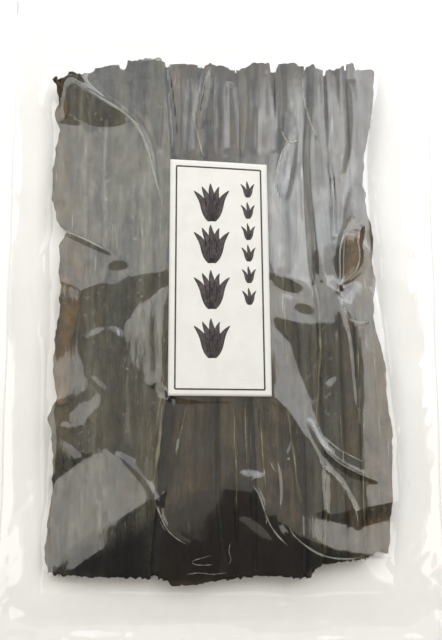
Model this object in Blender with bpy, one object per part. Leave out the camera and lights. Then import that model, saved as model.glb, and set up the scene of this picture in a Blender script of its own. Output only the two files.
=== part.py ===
"""Clear sealed bag of dried kelp strips, lying flat with its paper label up.

Metres, +Z up. The origin is the middle of the underside. +Y runs to the bag's
top end, and +X to its right side as the label is read.
"""

import math

import bmesh
import bpy

MM = 0.001

# Bag of clear film, as it lies when filled
BAG_WIDTH = 195 * MM
BAG_LENGTH = 300 * MM
SEAL_BAND = 9 * MM          # flat heat-sealed band across each end
RIM_THICKNESS = 1.0 * MM    # both films and the air between them at the rim
RIM_LIFT = 0.8 * MM         # least height of the rim's underside over the table
RIM_WAVE = 0.9 * MM         # swing of the loose film margin, up and down
RIM_WAVES_ALONG = 5         # waves down each long side
RIM_WAVES_ACROSS = 4        # waves across each end

# Bundle of long kelp strips, cut to one length, that fills the bag
BUNDLE_HALF_LENGTH = 116 * MM
BUNDLE_MIDDLE = -4.5 * MM    # it has slid towards the bag's bottom end
SHOULDER_HEIGHT = 11.5 * MM  # top of the bundle along its outline
CROWN_HEIGHT = 5.5 * MM      # further rise of its middle
FLANK_POWER = 1.5            # how hollow the film hangs between bundle and rim
# Half-width of the bundle on each side, from the bottom end to the top end
LEFT_EDGE = (74.5 * MM, 75.0 * MM, 75.5 * MM, 74.5 * MM, 74.0 * MM, 77.0 * MM)
RIGHT_EDGE = (72.5 * MM, 74.5 * MM, 71.5 * MM, 67.5 * MM, 65.0 * MM, 71.5 * MM)

# Upper strips from left to right: middle at the bottom end, middle at the top
# end, half-width, and how far the strip's back stands over the grooves
STRIPS = (
    (-52.0 * MM, -51.0 * MM, 24.5 * MM, 1.2 * MM),
    (-22.0 * MM, -18.0 * MM, 7.0 * MM, 1.5 * MM),
    (-9.0 * MM, -2.0 * MM, 8.0 * MM, 1.0 * MM),
    (8.0 * MM, 18.0 * MM, 9.5 * MM, 1.6 * MM),
    (27.0 * MM, 32.5 * MM, 8.0 * MM, 1.1 * MM),
    (44.5 * MM, 47.0 * MM, 8.5 * MM, 1.7 * MM),
    (63.0 * MM, 63.5 * MM, 9.0 * MM, 1.2 * MM),
)
CUT_END_STEP = 1.6 * MM      # dip at the bundle's ends, where the strips are cut

# Paper label stuck on the film, cut and placed a little out of square: its
# corners, each across and up from the middle of the bag
LABEL_BOTTOM_LEFT = (-23.0 * MM, -42.0 * MM)
LABEL_BOTTOM_RIGHT = (22.0 * MM, -42.4 * MM)
LABEL_TOP_LEFT = (-22.8 * MM, 64.2 * MM)
LABEL_TOP_RIGHT = (20.5 * MM, 61.5 * MM)
LABEL_THICKNESS = 0.3 * MM
LABEL_GAP = 0.35 * MM
LABEL_FLAT_MARGIN = 7 * MM   # the paper holds the film smooth this far round it

# Fineness of the meshes
BAG_COLUMNS = 58
BAG_ROWS = 54
GRID_SHARE_BUNDLE = 0.82     # share of the columns and rows over the bundle
BASE_SEGMENTS = 72
BASE_INSET = 5 * MM          # the flat underside ends this far inside the bundle
BASE_SQUARENESS = 7          # exponent of the underside's rounded rectangle
LABEL_COLUMNS = 10
LABEL_ROWS = 22

COLLECTION = "dried_kelp_bag"


def smooth_step(value):
    """Ease from 0 to 1 as value goes from 0 to 1."""
    t = min(max(value, 0.0), 1.0)
    return t * t * (3.0 - 2.0 * t)


def along(values, share):
    """Read a smooth curve through evenly spaced values at a share from 0 to 1."""
    place = min(max(share, 0.0), 1.0) * (len(values) - 1)
    first = min(int(place), len(values) - 2)
    blend = smooth_step(place - first)
    return values[first] * (1.0 - blend) + values[first + 1] * blend


def length_share(y):
    """Share of the bundle's length at y: 0 at the bottom end, 1 at the top end."""
    return (y - BUNDLE_MIDDLE + BUNDLE_HALF_LENGTH) / (2 * BUNDLE_HALF_LENGTH)


def bundle_edge(x, y):
    """Half-width of the bundle on the side of x."""
    edge = LEFT_EDGE if x < 0 else RIGHT_EDGE
    return along(edge, length_share(y))


def end_distance(direction):
    """Distance from the bundle's middle to the bag's end, up or down the bag."""
    return BAG_LENGTH / 2 - math.copysign(1.0, direction) * BUNDLE_MIDDLE


def flank(distance, inner, outer):
    """1 over the bundle, falling in a hollow curve to 0 at the rim."""
    rise = min(max((outer - distance) / (outer - inner), 0.0), 1.0)
    return rise ** FLANK_POWER


def strip_backs(x, y):
    """Relief of the upper strips' rounded backs, 0 in the grooves between them."""
    relief = 0.0
    for bottom, top, half_width, proud in STRIPS:
        middle = bottom + (top - bottom) * length_share(y)
        offset = abs(x - middle) / half_width
        if offset < 1.0:
            relief = max(relief, proud * math.cos(offset * math.pi / 2) ** 0.8)
    return relief


def label_hold(x, y):
    """1 under the label, easing to 0 where the film is free to follow the strips."""
    past_left = LABEL_BOTTOM_LEFT[0] - x
    past_right = x - LABEL_BOTTOM_RIGHT[0]
    past_bottom = LABEL_BOTTOM_RIGHT[1] - y
    past_top = y - LABEL_TOP_LEFT[1]
    past = max(past_left, past_right, past_bottom, past_top)
    return 1.0 - smooth_step(past / LABEL_FLAT_MARGIN)


def rim_height(x, y):
    """Underside of the loose film margin, which waves gently over the table."""
    along_side = math.sin(y / BAG_LENGTH * 2 * math.pi * RIM_WAVES_ALONG + 0.7)
    across_end = math.sin(x / BAG_WIDTH * 2 * math.pi * RIM_WAVES_ACROSS + 2.1)
    sealed = 1.0 - smooth_step((BAG_LENGTH / 2 - abs(y)) / (2 * SEAL_BAND))
    wave = along_side * (1.0 - sealed) + across_end * sealed
    return RIM_LIFT + RIM_WAVE * (1.0 + wave)


def film_top(x, y):
    """Height of the film over the bundle, its flanks and the flat margin."""
    side = bundle_edge(x, y)
    from_middle = abs(y - BUNDLE_MIDDLE)
    over = flank(abs(x), side, BAG_WIDTH / 2)
    seal_line = end_distance(y - BUNDLE_MIDDLE) - SEAL_BAND
    over *= flank(from_middle, BUNDLE_HALF_LENGTH, seal_line)
    inward_across = max(0.0, 1.0 - (x / side) ** 2)
    inward_along = max(0.0, 1.0 - (from_middle / BUNDLE_HALF_LENGTH) ** 4)
    near_end = smooth_step((BUNDLE_HALF_LENGTH - from_middle) / (4 * SEAL_BAND))
    held = label_hold(x, y)
    relief = strip_backs(x, y) * near_end * over * (1.0 - held) + STRIPS[0][3] * held
    crown = CROWN_HEIGHT * math.sqrt(inward_across * inward_along)
    height = SHOULDER_HEIGHT - CUT_END_STEP * (1.0 - near_end) + crown
    margin = rim_height(x, y) + RIM_THICKNESS
    return margin + (height - margin) * over + relief


def grid_line(share, inner, outer):
    """Place a grid line: evenly over the bundle, and evenly over the flank."""
    if abs(share) <= GRID_SHARE_BUNDLE:
        return inner * share / GRID_SHARE_BUNDLE
    past = (abs(share) - GRID_SHARE_BUNDLE) / (1.0 - GRID_SHARE_BUNDLE)
    return math.copysign(inner + (outer - inner) * past, share)


def boundary(geometry):
    """Edges of the given geometry that belong to one face or to none."""
    edges = [item for item in geometry if isinstance(item, bmesh.types.BMEdge)]
    return [edge for edge in edges if len(edge.link_faces) < 2]


def finish_object(name, mesh_data, colour, roughness, metallic, collection):
    """Turn a bmesh into a named object with its own material.

    The mesh is closed, so recalculating its normals makes them point out.
    """
    bmesh.ops.recalc_face_normals(mesh_data, faces=mesh_data.faces)
    mesh = bpy.data.meshes.new(name)
    mesh_data.to_mesh(mesh)
    mesh_data.free()
    mesh.shade_smooth()
    mesh.set_sharp_from_angle(angle=math.radians(50))
    part = bpy.data.objects.new(name, mesh)
    collection.objects.link(part)
    material = bpy.data.materials.new(name)
    material.use_nodes = True
    shader = material.node_tree.nodes["Principled BSDF"]
    shader.inputs["Base Color"].default_value = (*colour, 1.0)
    shader.inputs["Roughness"].default_value = roughness
    shader.inputs["Metallic"].default_value = metallic
    mesh.materials.append(material)
    return part


def rounded_rectangle(angle, half_width, half_length):
    """Point of a rounded rectangle at an angle round its middle."""
    power = 2.0 / BASE_SQUARENESS
    x = math.copysign(abs(math.cos(angle)) ** power, math.cos(angle)) * half_width
    y = math.copysign(abs(math.sin(angle)) ** power, math.sin(angle)) * half_length
    return x, y


def make_film_bag(collection):
    """Filled bag: its upper film, its rim, and a flat underside that it lies on."""
    bag = bmesh.new()
    top = bmesh.ops.create_grid(bag, x_segments=BAG_COLUMNS, y_segments=BAG_ROWS, size=1.0)
    for vert in top["verts"]:
        y = BUNDLE_MIDDLE + grid_line(vert.co.y, BUNDLE_HALF_LENGTH, end_distance(vert.co.y))
        x = grid_line(vert.co.x, bundle_edge(vert.co.x, y), BAG_WIDTH / 2)
        vert.co = (x, y, film_top(x, y))
    rim = bmesh.ops.extrude_edge_only(bag, edges=boundary(bag.edges))["geom"]
    rim_verts = [item for item in rim if isinstance(item, bmesh.types.BMVert)]
    for vert in rim_verts:
        vert.co.z -= RIM_THICKNESS
    rim_edges = boundary([edge for edge in rim if isinstance(edge, bmesh.types.BMEdge)])

    base = bmesh.ops.create_circle(bag, segments=BASE_SEGMENTS, radius=1.0, cap_ends=True)
    half_width = min(min(LEFT_EDGE), min(RIGHT_EDGE)) - BASE_INSET
    for vert in base["verts"]:
        angle = math.atan2(vert.co.y, vert.co.x)
        x, y = rounded_rectangle(angle, half_width, BUNDLE_HALF_LENGTH - BASE_INSET)
        vert.co = (x, BUNDLE_MIDDLE + y, 0.0)
    base_verts = set(base["verts"])
    base_edges = [edge for edge in bag.edges if set(edge.verts) <= base_verts]
    bmesh.ops.bridge_loops(bag, edges=rim_edges + base_edges)
    return finish_object("film_bag", bag, (0.075, 0.07, 0.055), 0.2, 0.0, collection)


def label_point(across, up):
    """Point of the label at shares from 0 to 1 across it and up it."""
    point = []
    for axis in (0, 1):
        bottom = LABEL_BOTTOM_LEFT[axis] * (1.0 - across) + LABEL_BOTTOM_RIGHT[axis] * across
        top = LABEL_TOP_LEFT[axis] * (1.0 - across) + LABEL_TOP_RIGHT[axis] * across
        point.append(bottom * (1.0 - up) + top * up)
    return point


def make_label(collection):
    """Thin paper label that follows the film beneath it."""
    label = bmesh.new()
    under = bmesh.ops.create_grid(label, x_segments=LABEL_COLUMNS, y_segments=LABEL_ROWS, size=0.5)
    for vert in under["verts"]:
        x, y = label_point(vert.co.x + 0.5, vert.co.y + 0.5)
        vert.co = (x, y, film_top(x, y) + LABEL_GAP)
    raised = bmesh.ops.extrude_face_region(label, geom=list(label.faces))["geom"]
    raised_verts = [item for item in raised if isinstance(item, bmesh.types.BMVert)]
    bmesh.ops.translate(label, vec=(0.0, 0.0, LABEL_THICKNESS), verts=raised_verts)
    return finish_object("label", label, (0.83, 0.81, 0.77), 0.6, 0.0, collection)


def main():
    """Model the bag and its label in their own collection."""
    for old in list(bpy.data.objects):
        bpy.data.objects.remove(old)
    collection = bpy.data.collections.new(COLLECTION)
    bpy.context.scene.collection.children.link(collection)
    make_film_bag(collection)
    make_label(collection)


if __name__ == "__main__":
    main()
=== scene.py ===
"""Clear sealed bag of dried kelp strips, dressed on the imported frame.

The bag lies flat with its label up: +Y points to the end that the label's top is nearest.
Every length is in metres, and MM turns the millimetres of the named values into metres.
"""

import logging
import math
from dataclasses import dataclass
from enum import Enum

import bmesh
import bpy
import numpy as np
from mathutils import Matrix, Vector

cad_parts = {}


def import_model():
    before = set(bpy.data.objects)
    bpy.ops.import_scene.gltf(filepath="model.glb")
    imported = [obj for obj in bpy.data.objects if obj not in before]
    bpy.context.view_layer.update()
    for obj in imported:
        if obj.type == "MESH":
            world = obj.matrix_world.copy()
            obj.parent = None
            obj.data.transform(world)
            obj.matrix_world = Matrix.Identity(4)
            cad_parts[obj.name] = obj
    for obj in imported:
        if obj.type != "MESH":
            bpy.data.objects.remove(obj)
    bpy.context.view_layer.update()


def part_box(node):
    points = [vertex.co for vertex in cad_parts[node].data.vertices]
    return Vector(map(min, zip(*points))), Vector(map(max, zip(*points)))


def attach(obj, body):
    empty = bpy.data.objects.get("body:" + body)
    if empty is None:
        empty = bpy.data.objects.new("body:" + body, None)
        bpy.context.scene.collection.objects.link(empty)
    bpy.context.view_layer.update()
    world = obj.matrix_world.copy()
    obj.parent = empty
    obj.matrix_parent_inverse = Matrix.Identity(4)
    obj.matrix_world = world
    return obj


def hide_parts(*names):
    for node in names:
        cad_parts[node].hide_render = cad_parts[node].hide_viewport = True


MM = 0.001
LOG = logging.getLogger("kelp_bag")

# The bag's form, as its solid has it.
SEAL_BAND = 9 * MM
RIM_LIFT = 0.8 * MM
RIM_WAVE = 0.9 * MM
RIM_WAVES_ALONG = 5
RIM_WAVES_ACROSS = 4
SEAM_LIFT = 0.5 * MM
BUNDLE_HALF_LENGTH = 116 * MM
BUNDLE_MIDDLE = -4.5 * MM
SHOULDER_HEIGHT = 11.5 * MM
CROWN_HEIGHT = 5.5 * MM
CUT_END_STEP = 1.6 * MM
FLANK_POWER = 1.5
LEFT_EDGE = (74.5, 75, 75.5, 74.5, 74, 77)
RIGHT_EDGE = (72.5, 74.5, 71.5, 67.5, 65, 71.5)
BACKS = (
    (-52, -51, 24.5, 1.2),
    (-22, -18, 7, 1.5),
    (-9, -2, 8, 1.0),
    (8, 18, 9.5, 1.6),
    (27, 32.5, 8, 1.1),
    (44.5, 47, 8.5, 1.7),
    (63, 63.5, 9, 1.2),
)
TAUT_PAST_SIDE = 2.5 * MM
TAUT_PAST_END = 4.5 * MM
CROWN_REACH = 1.05
LABEL_RISE = 1.2 * MM
LABEL_CORNERS = ((-23, -42), (22, -42.4), (-22.8, 64.2), (20.5, 61.5))
LABEL_FLAT_MARGIN = 7 * MM

FILM_STEP = 0.88 * MM
BACK_TIMES_COARSER = 2
FILM_GAP = 0.12 * MM
KELP_CLEARANCE = 0.7 * MM

# The bundle's outline, as pairs of millimetres: x and y of the ends, then y and x of the sides.
TOP_END = (
    (-78, 105),
    (-75.5, 105),
    (-72, 108.6),
    (-69, 109.3),
    (-67, 107.6),
    (-63, 107.9),
    (-59, 109),
    (-58, 111.2),
    (-47.5, 112.2),
    (-46.5, 110),
    (-44, 108.4),
    (-43.4, 114.6),
    (-39.8, 115),
    (-39.3, 113.4),
    (-38.6, 115.6),
    (-27.4, 116.2),
    (-26.6, 113.4),
    (-20, 112.6),
    (-5, 112.4),
    (3, 111.3),
    (4, 109.6),
    (11, 110.2),
    (14, 112.6),
    (22.4, 113.2),
    (23, 108.2),
    (25.8, 108.6),
    (26.4, 113),
    (34.5, 113.2),
    (36, 111.2),
    (43, 112.4),
    (44, 109.8),
    (53, 109.6),
    (58, 113),
    (61.5, 113.2),
    (62.4, 110),
    (72, 110.4),
)
BOTTOM_END = (
    (-78, -113.6),
    (-75, -115),
    (-72.5, -118.6),
    (-50, -119.4),
    (-30, -119.8),
    (-22.5, -120.8),
    (-21.5, -123.2),
    (-14, -122.8),
    (-6, -121.4),
    (8, -119.6),
    (20, -118.6),
    (36.6, -119.8),
    (38.4, -119.4),
    (39, -115.4),
    (46, -113.6),
    (62, -111.6),
    (67, -108.4),
    (72, -109.6),
)
LEFT_SIDE = (
    (-120, -75.4),
    (-111, -77),
    (-97, -76.2),
    (-86, -74),
    (-61, -73.4),
    (-52, -75.8),
    (-40, -72.4),
    (-30, -74),
    (-12, -73.6),
    (-4, -71.6),
    (12, -71.6),
    (26, -73.6),
    (31, -70.4),
    (33.5, -69.4),
    (36, -74),
    (50, -77),
    (65, -76.8),
    (72, -76),
    (80, -74.6),
    (90, -76.2),
    (95, -74.4),
    (106, -77.2),
)
RIGHT_SIDE = (
    (-112, 72.6),
    (-98, 73.6),
    (-80, 74.4),
    (-55, 75),
    (-38, 73),
    (-25, 72.6),
    (-14, 69.2),
    (-6, 67.6),
    (10, 69),
    (20, 68),
    (30, 69.2),
    (46, 65.6),
    (62, 64.6),
    (72, 66.6),
    (82, 69),
    (112, 71.8),
)


class Level(Enum):
    """How steeply the film's backs follow the strips beneath."""

    CLINGING = 0.5
    LOOSE = 0.3


def ease(value: np.ndarray) -> np.ndarray:
    """Ease from 0 to 1 as value goes from 0 to 1.

    Args:
        value: numbers of any range.

    Returns:
        The eased numbers, held within 0 and 1.
    """
    t = np.clip(value, 0.0, 1.0)
    return t * t * (3.0 - 2.0 * t)


def along(values: tuple, share: np.ndarray) -> np.ndarray:
    """Read a smooth curve through evenly spaced values.

    Args:
        values: the values from share 0 to share 1.
        share: places to read, from 0 to 1.

    Returns:
        The curve's values at those places.
    """
    stops = np.asarray(values, dtype=float)
    place = np.clip(share, 0.0, 1.0) * (len(stops) - 1)
    first = np.minimum(place.astype(int), len(stops) - 2)
    blend = ease(place - first)
    return stops[first] * (1.0 - blend) + stops[first + 1] * blend


def lattice(x: np.ndarray, y: np.ndarray, cell: tuple, seed: int) -> np.ndarray:
    """Smooth random relief from -1 to 1, the same in every run.

    Args:
        x: places across, in metres.
        y: places along, in metres.
        cell: size of one hump across and along, in metres.
        seed: which relief.

    Returns:
        The relief at each place.
    """
    random = np.random.RandomState(seed).uniform(-1.0, 1.0, (64, 64))
    u = np.asarray(x) / cell[0] + 17.3
    v = np.asarray(y) / cell[1] + 23.7
    i = np.floor(u).astype(int)
    j = np.floor(v).astype(int)
    a = ease(u - i)
    b = ease(v - j)
    low = random[i % 64, j % 64] * (1 - a) + random[(i + 1) % 64, j % 64] * a
    high = random[i % 64, (j + 1) % 64] * (1 - a) + random[(i + 1) % 64, (j + 1) % 64] * a
    return low * (1 - b) + high * b


def smooth_path(points: tuple, count: int) -> np.ndarray:
    """Run a smooth line along a few points.

    Args:
        points: the points in millimetres.
        count: how many points the line gets.

    Returns:
        The line's points in metres, one row each.
    """
    stops = np.asarray(points, dtype=float) * MM
    lengths = np.concatenate([[0.0], np.cumsum(np.hypot(*np.diff(stops, axis=0).T))])
    travel = np.linspace(0.0, lengths[-1], count)
    line = np.column_stack([np.interp(travel, lengths, stops[:, axis]) for axis in (0, 1)])
    for _ in range(int(2 * (0.35 * count / len(points)) ** 2)):
        line[1:-1] = (line[:-2] + 2 * line[1:-1] + line[2:]) / 4
    return line


def near_line(line: np.ndarray, x: np.ndarray, y: np.ndarray) -> tuple:
    """Find how far places are from a line, and where along it they are.

    Args:
        line: the line's points, one row each.
        x: places across.
        y: places along.

    Returns:
        The distance, and the share of the line from 0 to 1.
    """
    nearest = np.full(x.shape, np.inf)
    travel = np.zeros(x.shape)
    for number, (start, end) in enumerate(zip(line, line[1:])):
        step = end - start
        share = ((x - start[0]) * step[0] + (y - start[1]) * step[1]) / (step @ step + 1e-18)
        share = np.clip(share, 0.0, 1.0)
        gap = np.hypot(x - start[0] - share * step[0], y - start[1] - share * step[1])
        closer = gap < nearest
        nearest = np.where(closer, gap, nearest)
        travel = np.where(closer, (number + share) / (len(line) - 1), travel)
    return nearest, travel


def follow(line: np.ndarray, share: np.ndarray) -> tuple:
    """Read places along a line.

    Args:
        line: the line's points, one row each.
        share: how far along, from 0 to 1.

    Returns:
        The x and y of the places, and the x and y of the unit vector to the line's right.
    """
    stops = np.linspace(0.0, 1.0, len(line))
    heading = np.gradient(line, axis=0)
    heading /= np.hypot(heading[:, 0], heading[:, 1])[:, None] + 1e-12
    middle = tuple(np.interp(share, stops, line[:, axis]) for axis in (0, 1))
    ahead = tuple(np.interp(share, stops, heading[:, axis]) for axis in (0, 1))
    return middle, (ahead[1], -ahead[0])


@dataclass(frozen=True)
class Line:
    """A line that follows the bag's upper side.

    Args:
        name: what the line is.
        path: its points in millimetres.
        width: its half-width in millimetres.
        rise: how far it stands up in millimetres, or dips where negative.
    """

    name: str
    path: tuple
    width: float
    rise: float

    def relief(self, x: np.ndarray, y: np.ndarray) -> np.ndarray:
        """Work out the sharp ridge or groove of this line, which fades at both ends.

        Args:
            x: places across, in metres.
            y: places along, in metres.

        Returns:
            The height at each place.
        """
        gap, travel = near_line(smooth_path(self.path, 18), x, y)
        fade = np.sin(np.clip(travel, 0.0, 1.0) * math.pi) ** 0.4
        return self.rise * MM * fade * np.clip(1.0 - gap / (self.width * MM), 0.0, 1.0)


@dataclass(frozen=True)
class Fold:
    """A flat patch of the taut film between creases.

    Args:
        name: what the patch is.
        lean: slope of the patch's outward normal to the right and towards the top end.
        corners: its corners in millimetres.
        grip: how firmly the film keeps this lean.
    """

    name: str
    lean: tuple
    corners: tuple
    grip: float = 60.0

    def covers(self, x: np.ndarray, y: np.ndarray) -> np.ndarray:
        """Say which places lie inside the patch.

        Args:
            x: places across, in metres.
            y: places along, in metres.

        Returns:
            True inside the corners.
        """
        inside = np.zeros(x.shape, dtype=bool)
        ends = self.corners[1:] + self.corners[:1]
        for (x0, y0), (x1, y1) in zip(self.corners, ends):
            crosses = (y0 * MM > y) != (y1 * MM > y)
            reach = (x1 - x0) * (y / MM - y0) / (y1 - y0 + 1e-9) + x0
            inside ^= crosses & (x / MM < reach)
        return inside


FOLDS = (
    Fold("left_flank", (-0.05, -0.02), ((-75, 4), (-62, 4), (-56, -12), (-44, -14), (-40, -60), (-72, -75)), 6),
    Fold("left_field", (0.0, 0.04), ((-44, -40), (-23, -42), (-19, -75), (-27, -84), (-41, -67)), 30),
    Fold("right_flank", (0.06, -0.02), ((53, -8), (66, -8), (73, -60), (73, -88), (47, -92), (48, -60)), 10),
    Fold("middle_field", (0.0, -0.02), ((-20, -46), (22, -46), (42, -72), (44, -92), (24, -96), (6, -76), (-20, -60)), 6),
    Fold(
        "left_upper",
        (-0.05, 0.02),
        (
            (-76, 10),
            (-77, 82),
            (-62, 80),
            (-46, 78),
            (-37, 68),
            (-31, 50),
            (-26, 14),
            (-37, 12),
            (-40, 8),
            (-38, 5),
            (-46, 5.5),
            (-53, 8.5),
            (-62, 5),
            (-66, 7),
        ),
        14,
    ),
    Fold("right_rim", (0.19, 0.0), ((61, 6), (68, 6), (74, -30), (77, -60), (77, -86), (62, -86), (62.5, -30)), 60),
    Fold("curl_hollow", (0.0, -0.13), ((54, 20), (56.5, 28), (60.5, 30), (60.5, 16), (57, 9.5), (52.9, 7.2)), 80),
    Fold("corner_tuck", (0.0, -0.26), ((-70, 103), (-61, 95), (-48, 87.5), (-44, 85), (-46, 81), (-58, 81), (-72, 89))),
    Fold("left_dimple", (0.0, -0.14), ((-48.5, 17.4), (-46, 18), (-43.5, 16.5), (-44, 14.2), (-48, 13.7)), 60),
    Fold("left_band", (0.0, -0.12), ((-39, 7), (-36, 11), (-23, 12), (-23, 6), (-34, 3))),
    Fold("left_shield", (0.0, -0.14), ((-62, 3.7), (-53, 7.7), (-46, 4.5), (-38, 4), (-44, -11), (-58, -11))),
    Fold("shield_foot", (-0.05, 0.06), ((-58.5, -11.5), (-52, -12), (-52.5, -14.6), (-55, -16), (-57, -15.5)), 60),
    Fold("shield_below", (-0.03, -0.06), ((-62, -18), (-56, -17.5), (-50, -10), (-44.5, -18), (-45, -40), (-58, -31)), 90),
    Fold("flank_gap", (0.0, -0.02), ((-71, -57), (-60, -55), (-48, -45), (-43, -48), (-36, -68), (-42, -66), (-58, -67)), 60),
    Fold("lobe", (-0.21, 0.03), ((-44, -19), (-43, -9), (-36, 0.5), (-24, 5), (-24, -31), (-31, -36.5), (-41, -27)), 90),
    Fold("lobe_foot", (0.0, -0.04), ((-46, -20), (-42, -28), (-38.5, -33.5), (-31, -38.5), (-30, -46), (-49, -46), (-49, -40)), 90),
    Fold("leaf_field", (0.0, 0.0), ((22, 10), (36, 8), (52, 5), (54, -10), (44, -9), (36, -13), (30, -17), (22, -14)), 24),
    Fold("upper_leaf", (0.02, -0.2), ((22, 11), (28, 10), (35, 6), (33, 3), (27, 5)), 120),
    Fold("middle_leaf", (0.0, -0.18), ((33, -1), (36, -1), (39, -6), (36, -6)), 120),
    Fold("lower_leaf", (0.0, -0.15), ((25, -9), (32, -10), (32.5, -13.6), (26, -14)), 120),
    Fold("left_wedge", (0.02, -0.08), ((32, -17), (37, -14), (43, -10), (43, -27), (40.5, -44), (36, -34))),
    Fold("right_wedge", (0.02, -0.08), ((44.5, -10), (48, -12), (49.5, -24), (47, -35), (44.5, -30))),
    Fold("sash", (0.22, 0.06), ((22, -14), (32, -18), (34, -30), (42, -53), (45, -61), (43, -70), (34, -56), (22, -39))),
    Fold("upper_flag", (-0.2, 0.02), ((-74, -30), (-64, -30), (-55, -36), (-50.5, -43), (-55, -40), (-72, -42)), 120),
    Fold("flag_gap", (0.0, -0.02), ((-72, -43), (-56, -40.5), (-54, -41), (-62, -46), (-68, -50)), 120),
    Fold("lower_flag", (-0.2, 0.02), ((-52, -42), (-50.5, -46), (-61, -53), (-66, -54), (-67, -49), (-60, -45.5)), 120),
    Fold(
        "sail",
        (-0.25, -0.06),
        ((-58, -70), (-49, -66), (-43, -69), (-29, -84), (-31, -88), (-49, -97), (-75, -113), (-75, -96), (-71, -79)),
        120,
    ),
    Fold("sail_hem", (0.0, -0.08), ((-75, -114), (-49, -98), (-30, -88), (-28, -92), (-47, -104), (-62, -111), (-70, -119))),
    Fold("left_foot", (0.0, -0.24), ((-73, -120), (-47, -106), (-28, -93), (-17, -104), (-3, -108), (-3, -122))),
    Fold("middle_foot", (0.0, -0.2), ((-3, -78), (7, -82), (13, -83), (24, -103), (46, -114), (33, -120), (-3, -121))),
    Fold("right_sail", (0.2, 0.0), ((28, -95), (41, -94), (59, -99), (73, -95), (73, -111), (50, -108), (32, -101))),
    Fold("gleam", (0.0, 0.24), ((8, -74), (13, -73), (18, -74), (17, -77), (9, -77)), 120),
    Fold("beside_gleam", (0.0, -0.02), ((-8, -70), (6, -71), (6.5, -79), (-3, -77), (-8, -76)), 60),
    Fold("swirl", (0.0, -0.03), ((7, -93), (13, -93), (24, -102), (23, -106), (15, -102))),
    Fold("tongue", (0.0, -0.02), ((-22, -78), (-14, -57), (-3, -61), (-3, -106), (-13, -104.5), (-19, -101), (-23, -92))),
    Fold("dart_light", (-0.02, 0.12), ((42, -62), (50, -64), (58, -71), (68, -77), (57, -74), (49, -67)), 150),
    Fold("dart", (0.06, -0.26), ((43, -64), (49, -67), (57, -74), (67, -79), (57, -78), (48, -72)), 150),
)


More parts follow.
